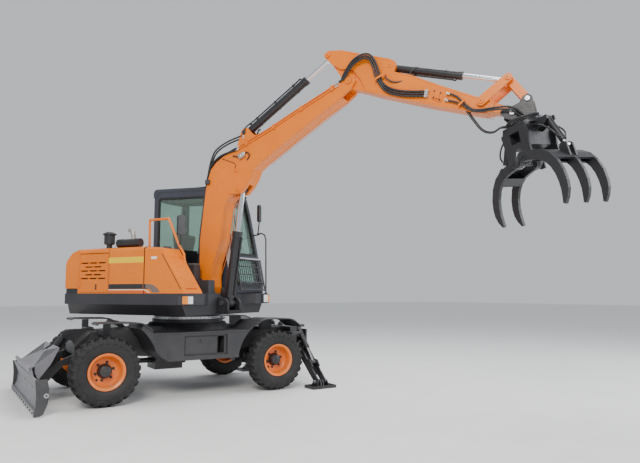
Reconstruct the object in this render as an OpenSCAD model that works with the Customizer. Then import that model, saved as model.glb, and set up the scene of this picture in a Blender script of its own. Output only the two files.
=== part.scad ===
// Wheeled excavator with a rotating log grapple.
// +X runs along the chassis from the dozer blade end to the stabiliser end,
// +Y to the left of that direction, +Z up, ground at Z = 0.
// The upper structure is built in its own directions (u forward along the
// boom, v to its left, z up) and is turned on the slewing ring by swing_deg.

/* [Chassis] */
// distance between the two axles
wheelbase = 2394; // [2200:1:2600]
// half of the track, centre plane to tyre mid-plane
half_track = 925; // [850:1:1000]
// height of the axle centres
axle_z = 430; // [380:1:480]
// half width of the centre beam
beam_half = 330; // [280:1:380]
// underside of the side boxes
box_z0 = 500; // [450:1:560]
// top of the side boxes
box_z1 = 868; // [820:1:900]
// outer face of the side boxes
box_y = 970; // [900:1:1020]
// top of the mudguards
guard_z = 1030; // [1000:1:1060]
// thickness of the mudguard plates
guard_t = 14; // [8:1:20]

/* [Wheels] */
// outer diameter of the tyres
tyre_d = 860; // [800:1:900]
// width of the tyres
tyre_w = 243; // [220:1:260]
// radius of the rim flange
rim_r = 229; // [220:1:240]
// radius of the rim barrel
rim_seat_r = 205; // [195:1:215]
// depth of the disc behind the outer flange
dish = 158; // [120:1:180]
// radius of the hub barrel
hub_r = 76; // [60:1:90]
// wheel bolts
wheel_bolts = 6; // [5:1:8]

/* [Blade] */
// half width of the dozer blade
blade_half = 1180; // [1000:1:1250]
// height of the blade ends
blade_h = 405; // [350:1:450]
// gap between the cutting edge and the ground
blade_gap = 12; // [0:1:40]
// front face of the end plates
blade_x = -815; // [-900:1:-750]

/* [Stabilisers] */
// plane of the legs
stab_x = 3030; // [2950:1:3080]
// length of a pad
pad_l = 400; // [300:1:450]
// width of a pad
pad_w = 250; // [200:1:300]

/* [Upper structure] */
// centre of the slewing ring along the chassis
slew_x = 1400; // [1300:1:1500]
// angle of the boom from the chassis direction
swing_deg = -60; // [-180:1:180]
// half width of the upper structure
up_half = 975; // [900:1:1000]
// underside of the upper frame
deck_z0 = 1090; // [1060:1:1120]
// top of the upper frame
deck_z1 = 1390; // [1350:1:1420]
// top of the engine cover
hood_z = 2040; // [1950:1:2100]
// tail radius about the slewing axis
tail_r = 1800; // [1700:1:1850]

/* [Cab] */
// right wall of the cab
cab_v0 = 195; // [180:1:220]
// left wall of the cab
cab_v1 = 950; // [900:1:975]
// wall thickness of the cab
cab_t = 46; // [35:1:60]

/* [Boom] */
// width of the boom
boom_w = 240; // [200:1:280]
// width of the arm
arm_w = 220; // [180:1:240]
// outer radius of the boom cylinder
boom_cyl_r = 68; // [55:1:80]
// outer radius of the arm cylinder
arm_cyl_r = 56; // [45:1:70]
// outer radius of the tool cylinder
tool_cyl_r = 50; // [40:1:60]

/* [Grapple] */
// lean of the rotator's axis from the vertical
lean_deg = 10.5; // [0:0.5:30]
// turn of the grapple about the rotator's axis
turn_deg = 55; // [-180:1:180]
// spacing of the tines
tine_pitch = 326; // [280:1:360]
// thickness of a tine
tine_t = 44; // [30:1:60]

/* [Hidden] */

$fn = 48;

// the model's own frame: the middle of its footprint box is the origin
org_x = -1717;
org_y = 1621;

steel_black = [0.09, 0.09, 0.10];
frame_grey = [0.20, 0.20, 0.22];
paint_orange = [0.95, 0.50, 0.12];
blade_grey = [0.55, 0.56, 0.60];
rubber = [0.05, 0.05, 0.055];
chrome = [0.80, 0.80, 0.82];
glass_tint = [0.55, 0.65, 0.68, 0.35];
cab_grey = [0.30, 0.31, 0.34];

fit_gap = 0.05; // running clearance of a pin in its bore

// pins of the boom, arm and tool, as [u, z] in the upper structure
pin_boom = [400, 1460];
pin_boom_cyl = [745, 1250];
pin_boom_rod = [975, 2905];
pin_arm_cyl = [1040, 3735];
pin_arm_tail = [2416, 4626];
pin_arm = [2723, 4218];
pin_tool_cyl = [3306, 4330];
pin_idler = [4453, 3670];
pin_link_top = [4768, 3905];
pin_link_low = [4973, 3621];
pin_tip = [4801, 3483];
// centre of the rotator's face, as [u, z]
rotor = [4929, 3392];

// pins of the blade, as [x, z] in the chassis
pin_blade = [-225, 560];
pin_blade_top = [-322, 838];
pin_blade_low = [-640, 372];

// pins of a stabiliser, as [distance out, z] in the plane stab_x
pin_leg = [560, 620];
pin_leg_top = [505, 880];
pin_leg_rod = [965, 352];
pin_pad = [1170, 92];

// the kingpins, out from the centre plane
kingpin_y = 700;

// ---------- helpers ----------

module place() translate([org_x, org_y, 0]) children();
module on_upper() place() translate([slew_x, 0, 0]) rotate([0, 0, swing_deg]) children();
module on_grapple() on_upper() translate([rotor[0], 0, rotor[1]]) rotate([0, -lean_deg, 0]) rotate([0, 0, turn_deg]) children();

// a plate whose outline is in the (u, z) or (x, z) plane, thickness t centred at v
module slab(pts, t, v = 0) translate([0, v, 0]) rotate([90, 0, 0]) linear_extrude(height = t, center = true) polygon(pts);
// a round bar across that plane
module cross_bar(p, r, t, v = 0) translate([p[0], v, p[1]]) rotate([90, 0, 0]) cylinder(r = r, h = t, center = true);
// a round bar along X whose place is in the (y, z) plane
module long_bar(y, z, r, x0, x1) translate([x0, y, z]) rotate([0, 90, 0]) cylinder(r = r, h = x1 - x0);
// a round bar between two points
module strut(p, q, r) {
    d = q - p;
    l = norm(d);
    translate(p) rotate([0, acos(d[2] / l), atan2(d[1], d[0])]) cylinder(r = r, h = l);
}
// a bent round tube through a list of points
module pipe(pts, r) {
    for (i = [0 : len(pts) - 2]) strut(pts[i], pts[i + 1], r);
    if (len(pts) > 2) for (i = [1 : len(pts) - 2]) translate(pts[i]) sphere(r = r + 0.7);
}
// outline of a link with two round ends
function link_pts(p, rp, q, rq) =
    let (d = norm(q - p), a = atan2(q[1] - p[1], q[0] - p[0]), b = acos((rp - rq) / d))
    [p + rp * [cos(a + b), sin(a + b)], p + rp * [cos(a - b), sin(a - b)],
     q + rq * [cos(a - b), sin(a - b)], q + rq * [cos(a + b), sin(a + b)]];
module link(p, rp, q, rq, t, v = 0) {
    slab(link_pts(p, rp, q, rq), t, v);
    cross_bar(p, rp, t, v);
    cross_bar(q, rq, t, v);
}
// an outline with its corners rounded: each corner is [x, y, radius]
function round_corner(a, b, c, n = 5) =
    let (p = [b[0], b[1]], u = [a[0], a[1]] - p, w = [c[0], c[1]] - p,
         un = u / norm(u), wn = w / norm(w), half = acos(max(-1, min(1, un * wn))) / 2,
         r = min(b[2], 0.49 * min(norm(u), norm(w)) * tan(half)), d = r / tan(half), o = p + (un + wn) / norm(un + wn) * r / sin(half),
         s = p + un * d, e = p + wn * d,
         a0 = atan2(s[1] - o[1], s[0] - o[0]), a1r = atan2(e[1] - o[1], e[0] - o[0]),
         a1 = a1r - a0 > 180 ? a1r - 360 : (a1r - a0 < -180 ? a1r + 360 : a1r))
    b[2] <= 0 ? [p] : [for (i = [0 : n]) o + r * [cos(a0 + (a1 - a0) * i / n), sin(a0 + (a1 - a0) * i / n)]];
function rounded(c, n = 5) = [for (i = [0 : len(c) - 1]) each round_corner(c[(i + len(c) - 1) % len(c)], c[i], c[(i + 1) % len(c)], n)];
// points of an arc
function arc(cx, cy, r, a0, a1, n) = [for (i = [0 : n]) [cx + r * cos(a0 + (a1 - a0) * i / n), cy + r * sin(a0 + (a1 - a0) * i / n)]];

// a cylinder barrel from its eye at p towards q, in the (u, z) plane at v
module barrel(p, q, r, rod_r, len_b, eye_r, eye_w, pin_r, v = 0) {
    d = (q - p) / norm(q - p);
    a = atan2(d[1], d[0]);
    translate([p[0], v, p[1]]) rotate([0, -a, 0]) difference() {
        union() {
            rotate([90, 0, 0]) cylinder(r = eye_r, h = eye_w, center = true);
            translate([eye_r * 0.55, 0, 0]) rotate([0, 90, 0]) cylinder(r = r * 0.82, h = eye_r * 0.7);
            translate([eye_r * 1.15, 0, 0]) rotate([0, 90, 0]) cylinder(r = r, h = len_b - eye_r * 1.15 - r * 0.9);
            translate([len_b - r * 1.1, 0, 0]) rotate([0, 90, 0]) cylinder(r = r * 1.1, h = r * 1.1);
        }
        if (pin_r > 0) rotate([90, 0, 0]) cylinder(r = pin_r + fit_gap, h = max(eye_w, 2 * r) + 4, center = true);
        translate([eye_r * 1.3, 0, 0]) rotate([0, 90, 0]) cylinder(r = rod_r + fit_gap, h = len_b);
    }
}
// the rod, from inside the barrel out to its eye at q; an eye with pin_r = 0
// is closed, because its pin is in two stubs on the lugs beside it
module piston_rod(p, q, rod_r, inside, eye_r, eye_w, pin_r, v = 0) {
    d = (q - p) / norm(q - p);
    l = norm(q - p);
    a = atan2(d[1], d[0]);
    translate([p[0], v, p[1]]) rotate([0, -a, 0]) difference() {
        union() {
            translate([inside, 0, 0]) rotate([0, 90, 0]) cylinder(r = rod_r, h = l - inside - eye_r * 0.5);
            translate([l, 0, 0]) rotate([90, 0, 0]) cylinder(r = eye_r, h = eye_w, center = true);
        }
        if (pin_r > 0) translate([l, 0, 0]) rotate([90, 0, 0]) cylinder(r = pin_r + fit_gap, h = eye_w + 2, center = true);
    }
}

// ---------- chassis ----------

// side view of the side boxes and the lower mudguard curves
box_side = concat(
    [[452, 992], [520, 945], [590, box_z1], [1948, box_z1], [2040, 935], [2132, 1000], [2170, 998]],
    arc(wheelbase, axle_z, 610, 112, 170, 12),
    [[1800, box_z0], [790, box_z0], [700, 560]],
    arc(0, axle_z, 655, 18, 50, 8));

module side_box(s) translate([0, s > 0 ? beam_half - 20 : -box_y, 0]) mirror([0, 0, 0])
    rotate([90, 0, 0]) translate([0, 0, -(box_y - beam_half + 20)]) linear_extrude(height = box_y - beam_half + 20) polygon(box_side);

module chassis_frame() color(frame_grey) place() {
    difference() {
        union() {
            // centre beam
            slab([[-250, 590], [-120, 560], [180, 560], [700, 520], [2050, 520], [2250, 575], [2900, 575],
                  [2900, 860], [2150, 900], [2000, 930], [780, 930], [560, 900], [-60, 880], [-250, 700]], 2 * beam_half);
            for (s = [-1, 1]) side_box(s);
            // ring pedestal
            translate([slew_x, 0, 860]) cylinder(r1 = 640, r2 = 560, h = 110, $fn = 96);
            translate([slew_x, 0, 960]) cylinder(r = 520, h = 62, $fn = 96);
            // rear crossmember that carries the stabilisers
            translate([2830, -620, 545]) cube([130, 1240, 330]);
            for (s = [-1, 1]) for (x = [stab_x - 106, stab_x + 80]) translate([x, s > 0 ? 0 : -620, 0]) stab_ear();
            translate([2940, -380, 600]) cube([170, 760, 230]);
            // towing lug
            translate([3100, -70, 600]) cube([120, 140, 40]);
            translate([3220, 0, 600]) cylinder(r = 70, h = 40);
        }
        // step and tool recess in each side box
        for (s = [-1, 1]) translate([1000, s > 0 ? box_y - 26 : -box_y - 4, 558]) cube([620, 30, 268]);
        for (s = [-1, 1]) translate([1480, s > 0 ? box_y - 230 : -box_y - 4, 576]) cube([100, 234, 230]);
        // bore through the ring
        translate([slew_x, 0, 900]) cylinder(r = 330, h = 200, $fn = 72);
        // room between the ears of the stabilisers
        for (s = [-1, 1]) translate([stab_x - 80, s > 0 ? 385 : -720, 500]) cube([160, 335, 460]);
        translate([3225, 0, 590]) cylinder(r = 25, h = 60);
        // steering clearance at the front of the beam
        cross_bar([0, 430], 130, 900);
    }
    // pins of the stabilisers
    for (s = [-1, 1]) {
        long_bar(s * pin_leg[0], pin_leg[1], 30, stab_x - 122, stab_x + 122);
        long_bar(s * pin_leg_top[0], pin_leg_top[1], 22, stab_x - 118, stab_x + 118);
    }
    // front mudguards, flat over the wheel and curved down behind it
    for (s = [-1, 1]) guard(s, [[-122, guard_z - 20], [-102, guard_z], [300, guard_z - 6], [425, guard_z - 16], [520, 958], [560, 915]], 640);
    // rear mudguards
    for (s = [-1, 1]) guard(s, [[2060, 950], [2140, 1006], [2260, guard_z], [2600, guard_z - 6], [2700, 985], [2800, 905]], 500);
    // mudguard stays
    for (s = [-1, 1]) {
        translate([20, s > 0 ? 300 : -680, 850]) cube([90, 380, 60]);
        translate([20, s > 0 ? 640 : -680, 850]) cube([90, 40, 160]);
        translate([2330, s > 0 ? 300 : -560, 840]) cube([200, 260, 50]);
        translate([2330, s > 0 ? 520 : -560, 840]) cube([200, 40, 175]);
        translate([2640, s > 0 ? 300 : -1000, 0]) translate([0, 0, 790]) cube([190, 240, 24]);
    }
    // ears for the blade arms and the blade cylinder
    for (s = [-1, 1]) for (v = [s * 322, s * 438]) blade_ear(v);
    for (s = [-1, 1]) slab([[-60, 690], [-130, 700], [-300, 786], [-368, 800], [-372, 870], [-300, 905], [40, 912], [60, 700]], 22, s * 62);
    // pins of the blade
    for (s = [-1, 1]) cross_bar(pin_blade, 28, 150, s * 380);
    cross_bar(pin_blade_top, 22, 160);
    // slewing ring
    translate([slew_x, 0, 1022]) difference() {
        cylinder(r = 500, h = 34, $fn = 96);
        translate([0, 0, -1]) cylinder(r = 400, h = 40, $fn = 96);
    }
}
// plate bent along a side outline, from the beam side out to the wheel's outer face
module guard(s, top, inner) {
    n = len(top);
    pts = concat(top, [for (i = [n - 1 : -1 : 0]) top[i] - [0, guard_t]]);
    slab(pts, 1000 - inner, s * (1000 + inner) / 2);
}
module blade_ear(v) slab([[-110, 560], [-150, 505], [-225, 492], [-285, 530], [-290, 590], [-240, 640], [-180, 640], [-110, 640]], 26, v);
module stab_ear() rotate([90, 0, 90]) linear_extrude(height = 26) {
    polygon([[0, 545], [380, 545], [620, 560], [640, 640], [600, 700], [570, 900], [500, 940], [430, 900], [400, 830], [0, 830]]);
}

module steer_axle() color(steel_black) place() {
    difference() {
        union() {
            // beam with a central pivot block
            translate([-70, -560, 370]) cube([140, 1120, 120]);
            translate([-150, -130, 350]) cube([300, 260, 170]);
            cross_bar([0, axle_z], 100, 260);
            // forks at the kingpins
            for (s = [-1, 1]) for (z = [335, 477]) {
                translate([-50, s > 0 ? 560 : -kingpin_y, z]) cube([100, kingpin_y - 560, 48]);
                translate([0, s * kingpin_y, z]) cylinder(r = 50, h = 48);
            }
            for (s = [-1, 1]) translate([-50, s > 0 ? 540 : -600, 335]) cube([100, 60, 190]);
            // steering cylinder along the axle
            translate([-175, 0, 380]) rotate([90, 0, 0]) cylinder(r = 40, h = 420, center = true);
            translate([-165, -60, 356]) cube([60, 120, 50]);
        }
        for (s = [-1, 1]) translate([0, s * kingpin_y, 300]) cylinder(r = 24 + fit_gap, h = 260);
        translate([-175, 0, 380]) rotate([90, 0, 0]) cylinder(r = 15 + fit_gap, h = 440, center = true);
    }
    // hanger up to the beam
    translate([-90, -150, 515]) cube([180, 300, 45]);
}

module knuckle(s) color(steel_black) place() {
    translate([0, s * kingpin_y, 332]) cylinder(r = 24, h = 196);
    translate([0, s * kingpin_y, 387]) cylinder(r = 60, h = 86);
    // spindle and hub flange behind the disc
    translate([0, s * (kingpin_y + 10), axle_z]) rotate([s > 0 ? -90 : 90, 0, 0]) cylinder(r = 42, h = 210);
    translate([0, s * (kingpin_y + 64), axle_z]) rotate([s > 0 ? -90 : 90, 0, 0]) cylinder(r = 95, h = 54);
    // steering arm with the head of its pin
    translate([-175, s * kingpin_y - 30, 400]) cube([140, 60, 20]);
    translate([-175, s * kingpin_y, 400]) cylinder(r = 34, h = 20);
    translate([-175, s * kingpin_y, 418]) cylinder(r = 20, h = 14);
}

module tie_rod() color(steel_black) place() {
    translate([-175, 0, 380]) rotate([90, 0, 0]) cylinder(r = 15, h = 2 * kingpin_y - 40, center = true);
    for (s = [-1, 1]) {
        translate([-175, s * kingpin_y, 364]) cylinder(r = 32, h = 32);
        translate([-175, s * kingpin_y, 354]) cylinder(r = 18, h = 12);
    }
}

module drive_axle() color(steel_black) place() {
    translate([wheelbase, 0, axle_z]) rotate([90, 0, 0]) cylinder(r = 82, h = 1360, center = true);
    for (s = [-1, 1]) {
        translate([wheelbase, s > 0 ? 600 : -600, axle_z]) rotate([s > 0 ? -90 : 90, 0, 0]) cylinder(r = 130, h = 214);
        translate([wheelbase, s * 650, axle_z]) rotate([s > 0 ? -90 : 90, 0, 0]) cylinder(r = 42, h = 270);
        translate([wheelbase - 70, s > 0 ? 330 : -470, axle_z + 20]) cube([140, 140, 140]);
    }
    translate([wheelbase, 0, axle_z]) sphere(r = 143);
    translate([wheelbase - 250, -90, axle_z - 80]) cube([250, 180, 160]);
    // drive shaft and gearbox below the beam
    translate([1240, 0, 430]) rotate([0, 90, 0]) cylinder(r = 42, h = 920);
    translate([860, -190, 310]) cube([400, 380, 209.5]);
    translate([1240, 0, 430]) rotate([0, 90, 0]) cylinder(r = 70, h = 120);
    translate([156, 0, 430]) rotate([0, 90, 0]) cylinder(r = 36, h = 720);
}

// half section of the rim: [distance from the mid-plane towards the outside, radius]
rim_out = tyre_w / 2 - 12;
rim_profile = [[-105, 190], [-105, rim_seat_r + 22], [-97, rim_seat_r + 22], [-90, rim_seat_r], [-40, rim_seat_r - 8], [70, rim_seat_r],
    [rim_out - 16, rim_seat_r + 2], [rim_out - 6, rim_r], [rim_out, rim_r - 2], [rim_out - 2, rim_r - 14], [rim_out - 14, 196],
    [70, 188], [rim_out - dish + 44, 178], [rim_out - dish + 16, 150], [rim_out - dish + 12, hub_r - 4], [rim_out - dish - 2, hub_r - 4],
    [rim_out - dish + 2, 152], [rim_out - dish + 26, 186], [-40, 186]];
module rim(x, s) color(paint_orange) place() translate([x, s * half_track, axle_z]) rotate([s > 0 ? -90 : 90, 0, 0]) difference() {
    union() {
        rotate_extrude($fn = 96) polygon([for (p = rim_profile) [p[1], p[0]]]);
        translate([0, 0, rim_out - dish - 46]) cylinder(r = hub_r, h = 110);
        translate([0, 0, rim_out - dish + 64]) cylinder(r1 = hub_r - 8, r2 = 46, h = 26);
    }
    translate([0, 0, -180]) cylinder(r = 42 + fit_gap, h = 180 + rim_out - dish + 50);
    for (i = [0 : wheel_bolts - 1]) rotate([0, 0, 60 * i + 15]) translate([112, 0, rim_out - dish - 10]) cylinder(r = 11, h = 40, $fn = 24);
}

tyre_profile = [[-88, rim_seat_r + 0.3], [-96, rim_seat_r + 24.5], [-tyre_w / 2, 300], [-tyre_w / 2 + 3, 350], [-tyre_w / 2 + 14, 392], [-tyre_w / 2 + 30, 416],
    [-60, 427], [0, tyre_d / 2], [60, 427], [tyre_w / 2 - 30, 416], [tyre_w / 2 - 14, 392], [tyre_w / 2 - 3, 350], [tyre_w / 2, 300], [rim_out - 9.5, rim_r + 3],
    [91, rim_seat_r + 4], [88, rim_seat_r + 2.2], [70, rim_seat_r + 0.3]];
module tyre(x, s) color(rubber) place() translate([x, s * half_track, axle_z]) rotate([s > 0 ? -90 : 90, 0, 0])
    rotate_extrude($fn = 96) polygon([for (p = tyre_profile) [p[1], p[0]]]);

// ---------- dozer blade ----------

module blade() color(blade_grey) place() {
    t = 14;
    z0 = blade_gap;
    z1 = blade_gap + blade_h;
    // mouldboard, bent twice, with a raised middle
    slab([[blade_x + 6, z0], [blade_x + 62, z0 + 110], [blade_x + 76, z0 + 235], [blade_x + 40, z0 + 335], [blade_x + 8, z1],
          [blade_x + 8 + t, z1 + 3], [blade_x + 54, z0 + 340], [blade_x + 76 + t, z0 + 238], [blade_x + 62 + t, z0 + 104], [blade_x + 30, z0]], 2 * blade_half - 30);
    difference() {
        slab([[blade_x + 20, z1 - 10], [blade_x - 20, z1 + 95], [blade_x + 8, z1 + 110], [blade_x + 46, z1 - 20]], 1440);
        for (s = [-1, 1]) translate([blade_x - 120, s * 760, z1 + 60]) rotate([s * 38, 0, 0]) cube([260, 220, 90], center = true);
    }
    // end plates, each with a tie-down hole
    for (s = [-1, 1]) difference() {
        slab([[blade_x, z0], [blade_x + 14, z0 + 110], [blade_x + 16, z0 + 235], [blade_x + 8, z0 + 335], [blade_x, z1],
        [blade_x + 128, z1], [blade_x + 152, z0 + 300], [blade_x + 140, z0 + 130], [blade_x + 96, z0 + 14], [blade_x + 60, z0]], 18, s * (blade_half - 9));
        cross_bar([-694, 235], 14, 40, s * (blade_half - 9));
    }
    // cutting edge
    translate([blade_x - 2, -blade_half + 20, z0]) cube([26, 2 * blade_half - 40, 60]);
    // cover over the cylinder
    difference() {
        slab([[-468, 706], [-742, 498], [-800, 470], [-800, 486], [-748, 514], [-476, 720]], 1100);
        translate([-572, -75, 560]) cube([142, 150, 240]);
    }
    for (s = [-1, 1]) slab([[-470, 706], [-742, 498], [-742, 420], [-700, 330], [-560, 520]], 14, s * 543);
    for (s = [-1, 1]) slab([[-560, 636], [-742, 498], [-742, 300], [-700, 240]], 14, s * 250);
    // push arms
    for (s = [-1, 1]) difference() {
        union() {
            slab([[-742, 170], [-742, 330], [-620, 420], [-380, 560], [-262, 610], [-225, 618], [-180, 600], [-165, 560], [-180, 518], [-225, 500], [-400, 470], [-640, 210]], 60, s * 380);
        }
        cross_bar(pin_blade, 28 + fit_gap, 80, s * 380);
    }
    // cross tubes between the arms and the ears
    for (s = [-1, 1]) cross_bar([-560, 440], 46, 274, s * 215);
    // ears for the cylinder rod
    for (s = [-1, 1]) slab([[-735, 250], [-735, 420], [-690, 430], [-600, 410], [-590, 350], [-640, 320]], 20, s * 58);
}
module blade_barrel() color(steel_black) place() barrel(pin_blade_top, pin_blade_low, 48, 26, 400, 44, 78, 22);
module blade_rod() color(chrome) place() piston_rod(pin_blade_top, pin_blade_low, 26, 180, 36, 78, 0);

// ---------- stabilisers ----------
// built for the right side with the distance out along +X of a flat frame,
// then stood up in the plane stab_x

module stab_frame(s) place() translate([stab_x, 0, 0]) rotate([0, 0, s * 90]) children();

module stab_leg(s) color(steel_black) stab_frame(s) difference() {
    union() {
        for (v = [-62, 62]) {
            slab(link_pts(pin_leg, 66, pin_pad, 48), 22, v);
            cross_bar(pin_leg, 66, 22, v);
            cross_bar(pin_pad, 48, 22, v);
            slab([[720, 460], [925, 392], [960, 394], [1000, 372], [1060, 300], [900, 260], [720, 420]], 22, v);
            cross_bar(pin_leg_rod, 42, 22, v);
            cross_bar(pin_leg_rod, 20, 34, v);
        }
        // web between the plates on the underside
        slab([[610, 500], [1010, 165], [1035, 190], [640, 530]], 110);
        cross_bar(pin_leg, 62, 146);
    }
    cross_bar(pin_leg, 30 + fit_gap, 200);
    cross_bar(pin_pad, 22 + fit_gap, 200);
    // room for the cylinder
    slab([[590, 760], [480, 700], [560, 540], [640, 500], [840, 470]], 102);
}
module stab_pad(s) color(steel_black) stab_frame(s) {
    c = pin_pad[0];
    // tray with a wall round its edge
    translate([c - pad_w / 2, -pad_l / 2, 0]) cube([pad_w, pad_l, 16]);
    for (e = [-1, 1]) {
        translate([c + e * (pad_w / 2 - 6) - 6, -pad_l / 2, 0]) cube([12, pad_l, 44]);
        translate([c - pad_w / 2, e * (pad_l / 2 - 6) - 6, 0]) cube([pad_w, 12, 44]);
    }
    // lugs between the plates of the leg, and gussets outside them
    for (v = [-20, 20]) slab([[c - 70, 14], [c + 70, 14], [c + 34, 112], [c + 16, 124], [c - 16, 124], [c - 34, 112]], 18, v);
    for (v = [-90, 90]) slab([[c - 96, 14], [c + 96, 14], [c + 96, 40], [c + 40, 112], [c - 40, 112], [c - 96, 40]], 14, v);
    cross_bar(pin_pad, 22, 196);
}
module stab_barrel(s) color(steel_black) stab_frame(s) {
    barrel(pin_leg_top, pin_leg_rod, 42, 22, 430, 36, 60, 22);
}
module stab_rod(s) color(chrome) stab_frame(s) {
    piston_rod(pin_leg_top, pin_leg_rod, 22, 300, 32, 62, 0);
}

// ---------- upper structure ----------

// plan of the upper frame: right and left edges, round tail
tail_a = asin(up_half / tail_r);
deck_plan = concat([[730, -up_half + 30], [745, -up_half + 75], [745, -560], [700, -420], [700, 420], [850, 560], [850, up_half - 90], [830, up_half - 40], [790, up_half]],
    [[-1300, up_half]], arc(0, 0, tail_r, 180 - tail_a, 180 + tail_a, 16), [[-1300, -up_half], [700, -up_half]]);
// the part below the deck edge, drawn in along its sides and its tail
deck_step = 1236;
low_r = tail_r - 55;
low_a = asin((up_half + 15) / low_r);
module deck_low() intersection() {
    translate([0, 0, deck_z0]) linear_extrude(height = deck_step - deck_z0)
        polygon(concat([[700, -up_half - 15], [700, up_half + 15]], arc(0, 0, low_r, 180 - low_a, 180 + low_a, 16)));
    translate([-1900, 0, 0]) rotate([90, 0, 90]) linear_extrude(height = 2700)
        polygon([[-up_half + 85, deck_z0 - 1], [up_half - 85, deck_z0 - 1], [up_half - 1, deck_step + 1], [-up_half + 1, deck_step + 1]]);
}

module upper_frame() color(steel_black) on_upper() {
    difference() {
        union() {
            translate([0, 0, deck_step - 1]) linear_extrude(height = deck_z1 - deck_step + 1) polygon(deck_plan);
            deck_low();
            // dark sill under the counterweight
            translate([0, 0, deck_z1 - 1]) linear_extrude(height = 72) polygon(concat(arc(0, 0, tail_r - 12, 180 - tail_a + 0.5, 180 + tail_a - 0.5, 16), [[-1250, -up_half + 12], [-1250, up_half - 12]]));
            // ears for the boom and its cylinder
            for (v = [-1, 1]) slab([[40, 1380], [60, 1560], [130, 1625], [250, 1645], [360, 1600], [470, 1530], [560, 1440], [700, 1345], [810, 1320], [850, 1270], [852, 1150], [800, 1100], [40, 1100]], 44, v * (boom_w / 2 + 30));
            for (v = [-1, 1]) cross_bar(pin_boom, 71, 34, v * (boom_w / 2 + 48));
            slab([[560, 1105], [840, 1105], [845, 1147], [620, 1147]], boom_w + 56);
        }
        // slot for the boom foot and the boom cylinder between the ears
        translate([70, -boom_w / 2 - 6.3, 1150]) cube([900, boom_w + 12.6, 600]);
    }
    cross_bar(pin_boom, 40, boom_w + 142);
    cross_bar(pin_boom_cyl, 34, boom_w + 130);
    // ring above the slewing ring
    translate([0, 0, 1057]) cylinder(r = 470, h = 40, $fn = 96);
    // front steps and valve block beside the boom
    translate([420, -345, deck_z1 - 10]) cube([220, 145, 200]);
    translate([120, -345, deck_z1 - 10]) cube([260, 140, 420]);
}

// section of the tail: [radius, z, corner radius]
tail_section = rounded([[1150, 1462, 0], [tail_r, 1462, 12], [tail_r, 1850, 150], [tail_r - 110, 1990, 150], [tail_r - 260, hood_z, 200], [1150, hood_z, 0]], 6);
module counterweight() color(paint_orange) on_upper() intersection() {
    rotate_extrude($fn = 96) polygon(tail_section);
    translate([-1900, -up_half, 1450]) cube([1900 - 1254, 2 * up_half, 700]);
}

// cross-section of the engine cover: [v, z]
module cover_run(u0, u1, v0, v1, z0, z1, r) translate([u0, 0, 0]) rotate([90, 0, 90]) linear_extrude(height = u1 - u0)
    polygon(rounded([[v0, z0, 0], [v1, z0, 0], [v1, z1, v1 > 900 ? r : 0], [v0, z1, v0 < -900 ? r : 0]], 6));

module engine_cover() color(paint_orange) on_upper() difference() {
    union() {
        cover_run(-1250, 20, -up_half, 170, deck_z1, hood_z, 60);
        cover_run(-1250, -925, 160, up_half, deck_z1, hood_z, 60);
    }
    // engine bay and its openings
    cover_run(-1216, -640, -up_half + 34, 140, deck_z1 - 1, hood_z - 34, 50);
    cover_run(-600, -14, -up_half + 34, 140, deck_z1 - 1, hood_z - 34, 50);
    cover_run(-1216, -960, 100, up_half - 34, deck_z1 - 1, hood_z - 34, 50);
    translate([-1196, -720, hood_z - 60]) cube([516, 820, 90]);
    // opening for the door with the vents
    translate([-1221, -up_half - 5, 1404]) cube([576, 60, 566]);
}
module hood() color(paint_orange) on_upper() {
    translate([-1216, -740, hood_z + 0.3]) cube([556, 860, 14]);
    translate([-1186, -710, hood_z - 26]) cube([496, 800, 28]);
    // hinge knuckles along the back edge
    for (v = [-600, -20]) cross_bar([-1216, hood_z + 12.5], 12, 90, v);
}
module vent_door() color(paint_orange) on_upper() difference() {
    union() {
        translate([-1216, -up_half, 1409]) cube([566, 32, 551]);
        // frame behind the panel
        for (u = [-1210, -676]) translate([u, -up_half + 30, 1414]) cube([20, 16, 540]);
        // hinge knuckles
        for (z = [1480, 1820]) translate([-1207, -up_half - 3, z]) cylinder(r = 9, h = 70);
    }
    // vent slots: rows of [height, first slot]
    for (row = [[1830, 0], [1773, 1], [1716, 0], [1660, 1], [1606, 0]])
        for (i = [0 : row[1] == 0 ? 2 : 1]) translate([-1196 + row[1] * 85 + i * 172, -up_half - 5, row[0] - 10]) cube([150, 60, 18]);
}
module engine() color(frame_grey) on_upper() translate([-1180, -700, deck_z1 + 0.3]) cube([470, 780, 470]);

// side view of the fuel tank: [u, z, corner radius]
tank_side = rounded([[36, deck_z1, 0], [743, deck_z1, 0], [743, 1406, 6], [320, 2012, 70], [36, 2032, 0]], 6);
// lean of its front face
tank_lean = atan2(320 - 743, 2012 - 1406);
module tank() color(paint_orange) on_upper() difference() {
    slab(tank_side, 365, -up_half + 182.5);
    // chamfer along the outer top edge
    translate([0, -up_half, 2040]) rotate([45, 0, 0]) cube([2400, 60, 60], center = true);
    // step across the front face and the hand slot near its foot
    translate([409, -up_half + 182.5, 1884]) rotate([0, tank_lean, 0]) cube([8, 380, 7], center = true);
    translate([712, -798.5, 1450]) rotate([0, tank_lean, 0]) cube([28, 229, 26], center = true);
    // the corner follows the deck
    translate([0, 0, deck_z1 - 5]) linear_extrude(height = 90) polygon([[700, -up_half - 1], [780, -up_half - 1], [780, -up_half + 75], [745, -up_half + 75], [730, -up_half + 30]]);
}

// ---------- cab ----------

// side view of the cab: [u, z, corner radius]
cab_side = rounded([[-900, deck_z1 + 0.3, 20], [732, deck_z1 + 0.3, 20], [735, 1520, 0], [600, 2150, 900], [470, 2700, 500], [385, 2985, 120], [60, 3035, 300], [-900, 3072, 140]], 8);
function cab_front(z) = z > 2150 ? 600 - (z - 2150) * 0.245 : 735 - (z - 1520) * 0.2143;
module cab_solid(grow, v0, v1) slab([for (p = cab_side) let (c = [-150, 2250]) p + (p - c) / norm(p - c) * grow], v1 - v0, (v0 + v1) / 2);

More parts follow.
